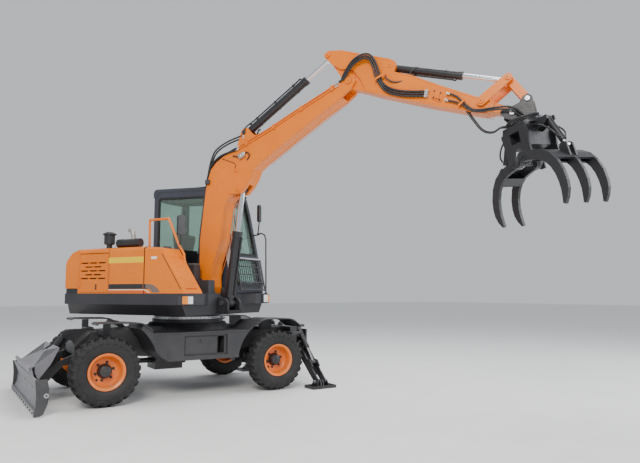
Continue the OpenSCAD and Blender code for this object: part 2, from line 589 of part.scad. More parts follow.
module cab_shell() color(cab_grey) on_upper() difference() {
    union() {
        cab_solid(0, cab_v0, cab_v1);
        // roof cap
        slab(rounded([[-914, 2945, 0], [-840, 2945, 0], [-820, 3030, 40], [60, 2998, 200], [400, 2950, 40], [396, 2990, 30], [60, 3050, 200], [-914, 3086, 152]], 6), cab_v1 - cab_v0 + 14, (cab_v0 + cab_v1) / 2);
    }
    cab_solid(-cab_t * 1.35, cab_v0 + cab_t, cab_v1 - cab_t);
    // windscreen and lower front window
    cab_front_cut(1985, 2880, 60);
    cab_front_cut(1510, 1930, 60);
    // right window, in two panes
    translate([0, cab_v0 + 20, 0]) slab(rounded([[-800, 1985, 40], [-800, 2925, 40], [90, 2895, 40], [330, 2840, 50], [505, 1985, 40]], 4), 100);
    // rear window
    translate([-960, cab_v0 + 90, 1985]) cube([120, cab_v1 - cab_v0 - 180, 900]);
    // left: door opening and rear pane
    translate([0, cab_v1 - 20, 0]) slab(rounded([[-330, 1450, 30], [-330, 2915, 30], [90, 2900, 40], [372, 2850, 60], [655, 1560, 40], [655, 1450, 30]], 4), 120);
    translate([0, cab_v1 - 20, 0]) slab(rounded([[-810, 1985, 40], [-810, 2925, 40], [-410, 2910, 40], [-410, 1985, 40]], 4), 100);
}
module cab_front_cut(z0, z1, side) {
    n = 6;
    pts = [for (i = [0 : n]) let (z = z0 + (z1 - z0) * i / n) [cab_front(z) - 110, z]];
    pts2 = [for (i = [n : -1 : 0]) let (z = z0 + (z1 - z0) * i / n) [cab_front(z) + 130, z]];
    slab(concat(pts, pts2), cab_v1 - cab_v0 - 2 * side, (cab_v0 + cab_v1) / 2);
}
module cab_glass() color(glass_tint) on_upper() {
    g = 8;
    v0 = cab_v0 + 14;
    // windscreen and lower front window
    for (w = [[1985.5, 2879.5], [1510.5, 1929.5]]) {
        n = 6;
        pts = [for (i = [0 : n]) let (z = w[0] + (w[1] - w[0]) * i / n) [cab_front(z) - 34, z]];
        pts2 = [for (i = [n : -1 : 0]) let (z = w[0] + (w[1] - w[0]) * i / n) [cab_front(z) - 34 + g, z]];
        slab(concat(pts, pts2), cab_v1 - cab_v0 - 121, (cab_v0 + cab_v1) / 2);
    }
    slab(rounded([[-799, 1986, 40], [-799, 2924, 40], [90, 2894, 40], [329, 2839, 50], [504, 1986, 40]], 4), g, v0);
    translate([-884, cab_v0 + 91, 1986]) cube([g, cab_v1 - cab_v0 - 182, 898]);
    slab(rounded([[-809, 1986, 40], [-809, 2924, 40], [-411, 2909, 40], [-411, 1986, 40]], 4), g, cab_v1 - 14);
}
door_side = [[-324, 1456, 30], [-324, 2909, 30], [90, 2894, 40], [368, 2844, 60], [649, 1562, 40], [649, 1456, 30]];
module cab_door() color(cab_grey) on_upper() difference() {
    union() {
        slab(rounded(door_side, 4), 36, cab_v1 - 18);
        // hinge knuckles
        for (z = [1600, 2160, 2720]) translate([-316, cab_v1 + 6, z]) cylinder(r = 12, h = 80);
    }
    slab(rounded([[-262, 2010, 40], [-262, 2850, 40], [80, 2838, 40], [322, 2790, 60], [500, 2010, 40]], 4), 60, cab_v1 - 18);
    slab(rounded([[-262, 1540, 40], [-262, 1940, 40], [512, 1940, 40], [590, 1600, 40], [560, 1540, 30]], 4), 60, cab_v1 - 18);
    // lock recess
    translate([520, cab_v1 - 8, 1955]) cube([60, 20, 30]);
}
module door_glass() color(glass_tint) on_upper() {
    slab(rounded([[-261.5, 2010.5, 40], [-261.5, 2849.5, 40], [80, 2837.5, 40], [321.5, 2789.5, 60], [499.5, 2010.5, 40]], 4), 8, cab_v1 - 20);
    slab(rounded([[-261.5, 1540.5, 40], [-261.5, 1939.5, 40], [511.5, 1939.5, 40], [589.5, 1600, 40], [560, 1540.5, 30]], 4), 8, cab_v1 - 20);
}
module seat() color([0.1, 0.1, 0.11]) on_upper() {
    slab(rounded([[-420, 1800, 30], [-420, 1900, 40], [-540, 2480, 50], [-640, 2470, 40], [-560, 1790, 40]], 5), 440, 575);
    slab(rounded([[-500, 1760, 30], [20, 1780, 50], [20, 1880, 50], [-410, 1870, 30], [-500, 1870, 30]], 5), 460, 575);
}
module console() color([0.16, 0.16, 0.17]) on_upper() {
    // floor mat and seat base
    translate([-500, 400, 1462]) cube([420, 350, 297.5]);
    for (v = [252, 818]) {
        translate([-430, v, 1700]) cube([430, 80, 200]);
        translate([-400, v, 1470]) cube([200, 80, 235]);
        strut([-60, v + 40, 1895], [-40, v + 40, 2040], 10);
        translate([-38, v + 40, 2055]) sphere(r = 26);
    }
    // travel pedals and steering column
    strut([420, 560, 1470], [250, 560, 2010], 34);
    translate([246, 560, 2018]) rotate([0, -18, 0]) difference() {
        rotate_extrude($fn = 48) translate([165, 0]) circle(r = 13, $fn = 16);
    }
    translate([246, 560, 2018]) rotate([0, -18, 0]) for (a = [90, 210, 330]) rotate([0, 0, a]) rotate([0, 90, 0]) cylinder(r = 9, h = 160);
    translate([246, 560, 2018]) rotate([0, -18, 0]) cylinder(r = 40, h = 26, center = true);
    for (v = [440, 620]) translate([480, v, 1462]) cube([110, 80, 120]);
    // floor
    translate([-820, cab_v0 + cab_t + 3, 1449]) cube([1430, cab_v1 - cab_v0 - 2 * cab_t - 6, 16]);
}
function gx(z) = cab_front(z) + 62;
module front_guard() color(steel_black) on_upper() {
    va = cab_v0 + 30;
    vb = cab_v1 - 70;
    for (v = [va, vb]) strut([gx(1425), v, 1425], [gx(1945), v, 1945], 13);
    for (z = [1445, 1925]) strut([gx(z), va + 2, z], [gx(z), vb - 2, z], 11);
    for (z = [1560, 1680, 1800]) strut([gx(z) - 5, va + 2, z], [gx(z) - 5, vb - 2, z], 8);
    for (i = [1 : 11]) let (v = va + i * (vb - va) / 12) strut([gx(1446), v, 1446], [gx(1924), v, 1924], 6);
    for (v = [va, vb]) for (z = [1545, 1900]) strut([cab_front(z) + 4, v, z], [gx(z) - 2, v, z], 9);
}
module handrails() color(paint_orange) on_upper() {
    pipe([[-196, -640, hood_z + 0.3], [-204, -640, 2450], [150, -640, 2452], [344, -640, 2068], [437, -640, 1939], [447, -640, 1856]], 17);
    // door grab rail on the left, standing on the deck
    pipe([[805, 925, deck_z1 + 0.5], [795, 925, 2250], [770, 925, 2330], [700, 925, 2360], [640, 925, 2335], [576, 925, 2330]], 11);
}
module mirrors() color(steel_black) on_upper() {
    strut([361, -640, 2093], [376, -640, 2215], 10);
    translate([379, -642, 2349]) rotate([0, 0, -15]) mirror_head();
    strut([645, 925, 2364], [668, 925, 2560], 10);
    translate([664, 925, 2685]) rotate([0, 0, 15]) mirror_head();
}
module mirror_head() translate([-18, -62, -140]) rotate([90, 0, 90]) linear_extrude(height = 36)
    polygon(rounded([[0, 0, 30], [124, 0, 30], [124, 280, 40], [0, 280, 40]], 4));
module exhaust() color(steel_black) on_upper() {
    // air pre-cleaner, beside the lid
    translate([-756, -865, hood_z + 0.3]) cylinder(r = 40, h = 60);
    translate([-756, -865, hood_z + 56]) cylinder(r = 70, h = 150);
    translate([-756, -865, hood_z + 196]) cylinder(r = 96, h = 18);
    translate([-756, -865, hood_z + 213]) cylinder(r1 = 94, r2 = 46, h = 26);
    // silencer and tail pipe
    translate([-600, -830, hood_z + 68]) rotate([0, 90, 0]) cylinder(r = 60, h = 410);
    for (u = [-560, -260]) translate([u, -860, hood_z + 0.3]) cube([30, 60, 30]);
    pipe([[-330, -830, hood_z + 110], [-330, -830, hood_z + 190], [-350, -830, hood_z + 236], [-400, -830, hood_z + 258]], 28);
}

// ---------- boom, arm and their cylinders ----------

boom_out = [[262, 1470], [280, 1640], [297, 1811], [298, 2183], [353, 2630], [392, 2929], [426, 3077], [478, 3224], [568, 3321], [694, 3398],
    [942, 3490], [1504, 3716], [1829, 3867], [2299, 4073], [2560, 4190], [2640, 4228], [2690, 4300], [2760, 4312], [2812, 4270], [2824, 4200],
    [2774, 4120], [2599, 3990], [2299, 3825], [1831, 3548], [1507, 3352], [1375, 3272], [1230, 3165], [1160, 3010], [1095, 2920], [1010, 2838], [905, 2830],
    [850, 2830], [760, 2735], [718, 2607], [663, 2168], [540, 1806], [520, 1640], [530, 1480], [505, 1378], [430, 1332], [330, 1340]];
module boom() color(paint_orange) on_upper() difference() {
    union() {
        slab(boom_out, boom_w);
        // bosses at the ends
        cross_bar(pin_boom, 84, boom_w);
        cross_bar(pin_arm, 92, boom_w);
        // ends of the pin of the boom cylinder's rod
        for (v = [-1, 1]) cross_bar(pin_boom_rod, 44, 18, v * (boom_w / 2 + 7));
        // lugs for the arm cylinder
        for (v = [-75, 75]) slab([[880, 3455], [950, 3620], [985, 3745], [1035, 3800], [1100, 3790], [1180, 3705], [1290, 3620]], 26, v);
    }
    // fork at the arm end
    translate([2735, 0, 4215]) rotate([0, -30, 0]) cube([300, arm_w - 50, 420], center = true);
    cross_bar(pin_arm, 230, arm_w - 50);
    // slot for the rod of the boom cylinder
    slab([[820, 2790], [870, 2985], [980, 3030], [1090, 2985], [1180, 2900], [1060, 2760]], 100);
    cross_bar(pin_boom, 40 + fit_gap, 400);
    cross_bar(pin_arm, 32 + fit_gap, 400);
    cross_bar(pin_arm_cyl, 30 + fit_gap, 400);
}
module boom_barrel() color(steel_black) on_upper() barrel(pin_boom_cyl, pin_boom_rod, boom_cyl_r, 38, 1045, 66, 110, 34);
module boom_rod() color(chrome) on_upper() {
    piston_rod(pin_boom_cyl, pin_boom_rod, 38, 560, 60, 88, 0);
}
module arm_barrel() color(steel_black) on_upper() {
    barrel(pin_arm_cyl, pin_arm_tail, arm_cyl_r, 34, 1190, 58, 96, 0);
    cross_bar(pin_arm_cyl, 30, 194);
}
module arm_rod() color(chrome) on_upper() piston_rod(pin_arm_cyl, pin_arm_tail, 34, 330, 52, 90, 0);

arm_out = [[2352, 4625], [2372, 4668], [2416, 4690], [2611, 4664], [3002, 4522], [3300, 4418], [3372, 4370], [3384, 4310], [3359, 4230], [3585, 4150], [3954, 3955], [4434, 3722],
    [4663, 3620], [4790, 3545], [4840, 3515], [4851, 3483], [4840, 3450], [4801, 3433], [4775, 3441], [4752, 3462], [4690, 3503], [4575, 3527], [4431, 3532], [3824, 3725], [3165, 3960], [2830, 4085], [2700, 4118], [2632, 4170], [2600, 4300], [2480, 4480]];
module arm() color(paint_orange) on_upper() {
    cross_bar(pin_arm, 32, boom_w + 24);
    arm_body();
}
module arm_body() difference() {
    union() {
        // ends of the pins, as discs on the cheeks
        for (v = [-1, 1]) cross_bar(pin_arm_tail, 34, 16, v * (arm_w / 2 + 8));
        slab(arm_out, arm_w - 60);
        // wider box behind the boom's fork
        slab([[2352, 4625], [2372, 4668], [2416, 4690], [2611, 4664], [3002, 4522], [3300, 4418], [3372, 4370], [3384, 4310], [3359, 4230], [3585, 4150], [3954, 3955], [4434, 3722],
            [4600, 3648], [4580, 3527], [4431, 3532], [3824, 3725], [3165, 3960], [2960, 4040], [2900, 4200], [2780, 4360], [2600, 4400], [2480, 4480]], arm_w);
        cross_bar(pin_tip, 50, arm_w - 60);
        cross_bar(pin_idler, 58, arm_w + 20);
    }
    // slots for the ends of the arm and tool cylinders
    slab([[2280, 4700], [2300, 4500], [2500, 4440], [2600, 4560], [2600, 4760], [2300, 4760]], 104);
    slab([[3230, 4300], [3260, 4460], [3450, 4420], [3450, 4300], [3340, 4230]], 114);
    cross_bar(pin_tool_cyl, 26 + fit_gap, 400);
    cross_bar(pin_idler, 24 + fit_gap, 400);
    cross_bar(pin_tip, 26 + fit_gap, 400);
}
module tool_barrel() color(steel_black) on_upper() {
    barrel(pin_tool_cyl, pin_link_top, tool_cyl_r, 30, 940, 48, 80, 0);
    cross_bar(pin_tool_cyl, 26, arm_w + 16);
}
module tool_rod() color(chrome) on_upper() piston_rod(pin_tool_cyl, pin_link_top, 30, 560, 44, 74, 0);
module idler() color(paint_orange) on_upper() {
    difference() {
        for (v = [-1, 1]) link(pin_idler, 56, pin_link_top, 50, 26, v * (arm_w / 2 + 30));
        cross_bar(pin_link_top, 24 + fit_gap, 400);
    }
    cross_bar(pin_idler, 24, arm_w + 100);
}
module tool_link() color(paint_orange) on_upper() {
    difference() {
        union() {
            for (v = [-1, 1]) link(pin_link_top, 48, pin_link_low, 50, 34, v * 70);
            slab(link_pts([4830, 3818], 30, [4912, 3706], 30), 110);
        }
    }
    for (v = [-1, 1]) cross_bar(pin_link_top, 24, 118, v * 101);
}
module tool_bracket() color(steel_black) on_upper() {
    for (v = [-1, 1]) slab([[4672, 3520], [4668, 3476], [4720, 3425], [4790, 3400], [5052, 3448], [5042, 3560], [5024, 3650], [4975, 3684], [4925, 3655], [4880, 3590], [4800, 3556]], 28, v * 122);
    cross_bar(pin_tip, 26, 290);
    for (v = [-1, 1]) cross_bar(pin_link_low, 24, 56, v * 120);
    translate([rotor[0], 0, rotor[1]]) rotate([0, -lean_deg, 0]) {
        translate([-105, -130, -2]) cube([255, 260, 26]);
        translate([0, 0, -40]) cylinder(r = 205, h = 40, $fn = 72);
        // rotator motor
        translate([20, -60, 22]) cube([110, 120, 62]);
    }
}

// ---------- grapple ----------
// local directions: x along the jaw pins, y across, z up along the rotator's axis

grip_pin_y = 120;
grip_pin_z = -480;
grip_top = [300, -86];   // [across, height] of the upper cylinder pin
grip_low = [452, -458];  // lower cylinder pin on the jaw

// a plate across the jaws: outline [y, z], thickness t at x
module jaw_plate(pts, t, x) translate([x, 0, 0]) rotate([90, 0, 90]) linear_extrude(height = t, center = true) polygon(pts);
module jaw_bar(y, z, r, t, x = 0) translate([x, y, z]) rotate([0, 90, 0]) cylinder(r = r, h = t, center = true);

module grapple_frame() color(steel_black) on_grapple() difference() {
    union() {
        translate([0, 0, -72]) cylinder(r = 205, h = 31, $fn = 72);
        for (x = [-230, 230]) jaw_plate([[-146, -62], [-160, -100], [-190, -190], [-172, -330], [-180, -500], [-120, -548], [120, -548], [180, -500], [172, -330], [190, -190], [160, -100], [146, -62]], 26, x);
        translate([-230, -150, -100]) cube([460, 300, 32]);
        jaw_plate([[-150, -96], [-130, -330], [130, -330], [150, -96]], 440, 0);
        // ears of the two cylinders
        for (s = [-1, 1]) for (x = [-62, 62]) jaw_plate([[s * 120, -72], [s * 340, -60], [s * 345, -110], [s * 300, -128], [s * 120, -190]], 22, x);
    }
    for (s = [-1, 1]) {
        jaw_bar(s * grip_pin_y, grip_pin_z, 26 + fit_gap, 600);
        jaw_bar(s * grip_top[0], grip_top[1], 18 + fit_gap, 600);
    }
    // window through the middle and arch between the hubs
    jaw_plate([[-70, -150], [-70, -280], [70, -280], [70, -150]], 700, 0);
    jaw_plate([[-56, -560], [-56, -400], [-44, -360], [0, -340], [44, -360], [56, -400], [56, -560]], 700, 0);
}

// tine outline: [across, height], pin at the hub, tip last
tine_out = [[200, -440], [300, -462], [380, -490], [470, -552], [545, -660], [592, -790], [606, -900], [600, -990], [570, -1070], [522, -1140]];
tine_in = [[498, -1126], [506, -1060], [512, -980], [506, -890], [488, -800], [452, -712], [400, -640], [330, -588], [250, -560], [180, -545]];
module tine(s, x) {
    jaw_plate([for (p = concat([[120, -415], [150, -420]], tine_out, tine_in, [[120, -540], [70, -520], [52, -480], [70, -435]])) [s * p[0], p[1]]], tine_t, x);
}
module jaw(s, xs, hubs, plates) {
    union() {
        for (x = xs) tine(s, x);
        for (h = hubs) jaw_bar(s * grip_pin_y, grip_pin_z, 58, h[1] - h[0], (h[0] + h[1]) / 2);
        // cross plates along the back of the tines
        for (p = plates) translate([(p[0] + p[1]) / 2, 0, 0]) {
            jaw_plate([for (q = [[330, -472], [380, -490], [470, -552], [520, -625], [500, -640], [455, -572], [374, -514], [330, -496]]) [s * q[0], q[1]]], p[1] - p[0], 0);
            jaw_plate([for (q = [[330, -588], [420, -660], [436, -645], [350, -575]]) [s * q[0], q[1]]], p[1] - p[0], 0);
        }
        // ears for the cylinder
        for (x = [-50, 50]) jaw_plate([for (q = [[392, -486], [404, -440], [452, -418], [494, -446], [508, -600], [440, -560]]) [s * q[0], q[1]]], 24, x);
        jaw_plate([for (q = [[330, -472], [380, -490], [470, -552], [455, -572], [374, -514], [330, -496]]) [s * q[0], q[1]]], 120, 0);
    }
}
// three tines on the right of the rotator's zero, two on the left
module jaw_three() color(steel_black) on_grapple() {
    jaw(-1, [-tine_pitch, 0, tine_pitch], [[-tine_pitch - 30, -tine_pitch + 74], [-70, 70], [tine_pitch - 74, tine_pitch + 30]], [[-tine_pitch, 0], [0, tine_pitch]]);
    jaw_bar(-grip_pin_y, grip_pin_z, 26, 2 * tine_pitch + 90);
}
module jaw_two() color(steel_black) on_grapple() {
    jaw(1, [-tine_pitch / 2, tine_pitch / 2], [[-210, -110], [110, 210]], [[-tine_pitch / 2, tine_pitch / 2]]);
    jaw_bar(grip_pin_y, grip_pin_z, 26, 500);
}
// the cylinder of a jaw, in the plane x = 0; s is the side
module grip_plane(s) on_grapple() rotate([0, 0, s * 90]) children();
module grip_barrel(s) color(steel_black) grip_plane(s) {
    barrel(grip_top, grip_low, 36, 20, 330, 30, 90, 0);
    cross_bar(grip_top, 18, 148);
}
module grip_rod(s) color(chrome) grip_plane(s) {
    piston_rod(grip_top, grip_low, 20, 75, 29, 64, 0);
}

chassis_frame();
steer_axle();
drive_axle();
knuckle(-1);  // knuckle_r
knuckle(1);  // knuckle_l
tie_rod();
rim(0, -1);  // rim_blade_r
rim(0, 1);  // rim_blade_l
rim(wheelbase, -1);  // rim_stab_r
rim(wheelbase, 1);  // rim_stab_l
tyre(0, -1);  // tyre_blade_r
tyre(0, 1);  // tyre_blade_l
tyre(wheelbase, -1);  // tyre_stab_r
tyre(wheelbase, 1);  // tyre_stab_l
blade();
blade_barrel();
blade_rod();
stab_leg(-1);  // stab_leg_r
stab_pad(-1);  // stab_pad_r
stab_barrel(-1);  // stab_barrel_r
stab_rod(-1);  // stab_rod_r
stab_leg(1);  // stab_leg_l
stab_pad(1);  // stab_pad_l
stab_barrel(1);  // stab_barrel_l
stab_rod(1);  // stab_rod_l
upper_frame();
counterweight();
engine_cover();
hood();
vent_door();
engine();
tank();
cab_shell();
cab_glass();
cab_door();
door_glass();
seat();
console();
front_guard();
handrails();
mirrors();
exhaust();
boom();
boom_barrel();
boom_rod();
arm_barrel();
arm_rod();
arm();
tool_barrel();
tool_rod();
idler();
tool_link();
tool_bracket();
grapple_frame();
jaw_three();
jaw_two();
grip_barrel(-1);  // grip_barrel_three
grip_rod(-1);  // grip_rod_three
grip_barrel(1);  // grip_barrel_two
grip_rod(1);  // grip_rod_two
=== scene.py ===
import math
import bmesh
import bpy
from mathutils import Matrix, Vector


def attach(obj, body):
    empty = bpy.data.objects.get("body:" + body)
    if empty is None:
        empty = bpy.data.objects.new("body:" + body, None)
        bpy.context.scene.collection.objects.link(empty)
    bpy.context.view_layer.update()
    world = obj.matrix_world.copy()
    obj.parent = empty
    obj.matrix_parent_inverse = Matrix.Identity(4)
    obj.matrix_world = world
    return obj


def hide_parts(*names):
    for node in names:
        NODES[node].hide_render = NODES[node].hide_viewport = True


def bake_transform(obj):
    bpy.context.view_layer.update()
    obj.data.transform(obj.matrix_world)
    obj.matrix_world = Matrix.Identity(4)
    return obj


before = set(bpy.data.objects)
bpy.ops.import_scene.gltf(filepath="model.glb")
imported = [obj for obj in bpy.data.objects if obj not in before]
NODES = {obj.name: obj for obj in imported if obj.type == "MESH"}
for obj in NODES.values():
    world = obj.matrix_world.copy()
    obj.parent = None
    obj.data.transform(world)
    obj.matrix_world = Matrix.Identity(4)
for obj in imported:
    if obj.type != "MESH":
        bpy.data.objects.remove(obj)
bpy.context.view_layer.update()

# ---------------------------------------------------------------- places
# the same numbers as the CAD source, in millimetres there and metres here
OX, OY, SLEW = -1717.0, 1621.0, 1400.0
SW = math.radians(-60.0)
LEAN, TURN = math.radians(10.5), math.radians(55.0)
ROT = (4929.0, 3392.0)
WB, HT, AZ = 2394.0, 925.0, 430.0
UPH = 975.0
DECK0, DECK1, HOOD = 1090.0, 1390.0, 2040.0
CAB0, CAB1, CABT = 195.0, 950.0, 46.0
PIN = dict(boom=(400, 1460), bc0=(745, 1250), bc1=(975, 2905), ac0=(1040, 3735), at=(2416, 4626), ap=(2723, 4218),
           tc0=(3306, 4330), idl=(4453, 3670), lt=(4768, 3905), ll=(4973, 3621), tip=(4801, 3483))


def CH(x, y, z):
    return Vector(((OX + x) / 1000, (OY + y) / 1000, z / 1000))


def U(u, v, z):
    c, s = math.cos(SW), math.sin(SW)
    return CH(SLEW + c * u - s * v, s * u + c * v, z)


def G(x, y, z):
    c, s = math.cos(TURN), math.sin(TURN)
    x, y = c * x - s * y, s * x + c * y
    a = -LEAN
    c, s = math.cos(a), math.sin(a)
    x, z = c * x + s * z, -s * x + c * z
    return U(ROT[0] + x, y, ROT[1] + z)


def D(T, x, y, z):
    return (T(x, y, z) - T(0, 0, 0)).normalized()


def cab_front(z):
    return 600 - (z - 2150) * 0.245 if z > 2150 else 735 - (z - 1520) * 0.2143


# ---------------------------------------------------------------- camera
cam_data = bpy.data.cameras.new("photo_camera")
cam_data.sensor_width = 36.0
cam_data.lens = 580.1 / 640 * 36
cam_data.shift_y = 8.65 / 640
cam_data.clip_end = 200
cam = bpy.data.objects.new("photo_camera", cam_data)
bpy.context.scene.collection.objects.link(cam)
pitch, yaw = math.radians(5.17), math.radians(33.26)
cam.location = CH(-1778.6, -8491.5, 1401.6)
cam.rotation_euler = Vector((math.sin(yaw) * math.cos(pitch), math.cos(yaw) * math.cos(pitch), math.sin(pitch))).to_track_quat("-Z", "Y").to_euler()
bpy.context.scene.camera = cam


# ---------------------------------------------------------------- materials
def new_mat(name):
    m = bpy.data.materials.new(name)
    m.use_nodes = True
    nt = m.node_tree
    bsdf = nt.nodes["Principled BSDF"]
    return m, nt, bsdf


def node(nt, kind, **inputs):
    n = nt.nodes.new(kind)
    for k, v in inputs.items():
        n.inputs[k.replace("_", " ")].default_value = v
    return n


def noise(nt, co, scale, detail=4.0, rough=0.6):
    n = node(nt, "ShaderNodeTexNoise", Scale=scale, Detail=detail, Roughness=rough)
    nt.links.new(co, n.inputs["Vector"])
    return n


def ramp(nt, fac, stops):
    r = nt.nodes.new("ShaderNodeValToRGB")
    el = r.color_ramp.elements
    el[0].position, el[0].color = stops[0]
    el[1].position, el[1].color = stops[-1]
    for p, c in stops[1:-1]:
        e = el.new(p)
        e.color = c
    nt.links.new(fac, r.inputs["Fac"])
    return r


def g(x):
    return (x, x, x, 1.0)


def mix(nt, fac, a, b, blend="MIX"):
    m = nt.nodes.new("ShaderNodeMix")
    m.data_type = "RGBA"
    m.blend_type = blend
    if isinstance(fac, float):
        m.inputs[0].default_value = fac
    else:
        nt.links.new(fac, m.inputs[0])
    for sock, val in ((m.inputs[6], a), (m.inputs[7], b)):
        if isinstance(val, tuple):
            sock.default_value = val
        else:
            nt.links.new(val, sock)
    return m.outputs[2]


def mathn(nt, op, a, b=None):
    m = nt.nodes.new("ShaderNodeMath")
    m.operation = op
    for i, v in enumerate((a, b)):
        if v is None:
            continue
        if isinstance(v, (int, float)):
            m.inputs[i].default_value = v
        else:
            nt.links.new(v, m.inputs[i])
    return m.outputs[0]


def coat(name, base, rough=0.35, metallic=0.0, dust=0.35, dust_top=1.3, vary=0.10, scratch=0.25, bump=0.06, edge=0.004,
         clear=0.0, spec=0.5, dust_col=(0.30, 0.26, 0.21), grime=0.35, chip=(0.30, 0.29, 0.28)):
    """A painted or bare surface: slow colour drift, dust that thins with height, grime, fine scratches, orange peel."""
    m, nt, b = new_mat(name)
    L = nt.links.new
    tc = nt.nodes.new("ShaderNodeTexCoord")
    co = tc.outputs["Object"]
    # slow drift of the colour
    n1 = noise(nt, co, 1.7, 3.0, 0.55)
    dark = tuple(c * (1 - vary) for c in base) + (1.0,)
    light = tuple(min(1.0, c * (1 + vary * 0.8)) for c in base) + (1.0,)
    col = ramp(nt, n1.outputs["Fac"], [(0.3, dark), (0.7, light)]).outputs["Color"]
    # grime in broken patches
    n2 = noise(nt, co, 9.0, 8.0, 0.7)
    gr = ramp(nt, n2.outputs["Fac"], [(0.52, g(0)), (0.78, g(grime))]).outputs["Color"]
    col = mix(nt, gr, col, tuple(c * 0.45 for c in base) + (1.0,))
    # streaks that run down
    mp = node(nt, "ShaderNodeMapping", Scale=(14.0, 14.0, 0.8))
    L(co, mp.inputs["Vector"])
    n3 = noise(nt, mp.outputs["Vector"], 2.0, 5.0, 0.6)
    st = ramp(nt, n3.outputs["Fac"], [(0.55, g(0)), (0.8, g(grime * 0.5))]).outputs["Color"]
    col = mix(nt, st, col, tuple(c * 0.62 for c in base) + (1.0,))
    # fine scratches that show the primer
    mp2 = node(nt, "ShaderNodeMapping", Scale=(3.0, 40.0, 40.0))
    mp2.inputs["Rotation"].default_value = (0.3, 0.5, 0.9)
    L(co, mp2.inputs["Vector"])
    n4 = noise(nt, mp2.outputs["Vector"], 3.0, 6.0, 0.75)
    sc = ramp(nt, n4.outputs["Fac"], [(0.70, g(0)), (0.76, g(scratch))]).outputs["Color"]
    col = mix(nt, sc, col, chip + (1.0,))
    # dust, thick near the ground and on top of flat faces
    sep = nt.nodes.new("ShaderNodeSeparateXYZ")
    L(co, sep.inputs[0])
    mr = node(nt, "ShaderNodeMapRange")
    mr.inputs["From Min"].default_value = 0.0
    mr.inputs["From Max"].default_value = dust_top
    mr.inputs["To Min"].default_value = 1.0
    mr.inputs["To Max"].default_value = 0.12
    L(sep.outputs["Z"], mr.inputs["Value"])
    n5 = noise(nt, co, 4.0, 7.0, 0.65)
    dn = ramp(nt, n5.outputs["Fac"], [(0.35, g(0)), (0.75, g(1))]).outputs["Color"]
    geo = nt.nodes.new("ShaderNodeNewGeometry")
    sepn = nt.nodes.new("ShaderNodeSeparateXYZ")
    L(geo.outputs["Normal"], sepn.inputs[0])
    upf = mathn(nt, "MAXIMUM", sepn.outputs["Z"], 0.0)
    upf = mathn(nt, "MULTIPLY", upf, 0.6)
    dz = mathn(nt, "MULTIPLY", mr.outputs["Result"], dn)
    du = mathn(nt, "MULTIPLY", upf, dn)
    dd = mathn(nt, "MULTIPLY", mathn(nt, "ADD", dz, du), dust)
    dd = mathn(nt, "MINIMUM", dd, 0.85)
    col = mix(nt, dd, col, dust_col + (1.0,))
    L(col, b.inputs["Base Color"])
    # roughness rises with dust and wanders a little
    n6 = noise(nt, co, 22.0, 4.0, 0.6)
    r0 = ramp(nt, n6.outputs["Fac"], [(0.3, g(max(0.02, rough - 0.07))), (0.7, g(rough + 0.08))]).outputs["Color"]
    r1 = mix(nt, dd, r0, g(0.9))
    L(r1, b.inputs["Roughness"])
    b.inputs["Metallic"].default_value = metallic
    b.inputs["Specular IOR Level"].default_value = spec
    if clear:
        b.inputs["Coat Weight"].default_value = clear
        b.inputs["Coat Roughness"].default_value = 0.12
    # orange peel and small dents
    n7 = noise(nt, co, 260.0, 2.0, 0.5)
    n8 = noise(nt, co, 14.0, 3.0, 0.5)
    hsum = mathn(nt, "ADD", mathn(nt, "MULTIPLY", n7.outputs["Fac"], 0.25), n8.outputs["Fac"])
    bp = nt.nodes.new("ShaderNodeBump")
    bp.inputs["Strength"].default_value = bump
    bp.inputs["Distance"].default_value = 0.004
    L(hsum, bp.inputs["Height"])
    if edge:
        bv = nt.nodes.new("ShaderNodeBevel")
        bv.samples = 4
        bv.inputs["Radius"].default_value = edge
        L(bv.outputs["Normal"], bp.inputs["Normal"])
    L(bp.outputs["Normal"], b.inputs["Normal"])
    return m


def plain(name, base, rough=0.5, metallic=0.0, vary=0.12, scale=30.0, bump=0.0, spec=0.5, emission=None):
    m, nt, b = new_mat(name)
    L = nt.links.new
    co = nt.nodes.new("ShaderNodeTexCoord").outputs["Object"]
    n1 = noise(nt, co, scale, 5.0, 0.6)
    a = tuple(c * (1 - vary) for c in base) + (1.0,)
    c = tuple(min(1.0, x * (1 + vary)) for x in base) + (1.0,)
    L(ramp(nt, n1.outputs["Fac"], [(0.3, a), (0.7, c)]).outputs["Color"], b.inputs["Base Color"])
    L(ramp(nt, n1.outputs["Fac"], [(0.3, g(max(0.02, rough - 0.06))), (0.7, g(min(1, rough + 0.06)))]).outputs["Color"], b.inputs["Roughness"])
    b.inputs["Metallic"].default_value = metallic
    b.inputs["Specular IOR Level"].default_value = spec
    if bump:
        bp = nt.nodes.new("ShaderNodeBump")
        bp.inputs["Strength"].default_value = bump
        bp.inputs["Distance"].default_value = 0.002
        L(n1.outputs["Fac"], bp.inputs["Height"])
        L(bp.outputs["Normal"], b.inputs["Normal"])
    return m


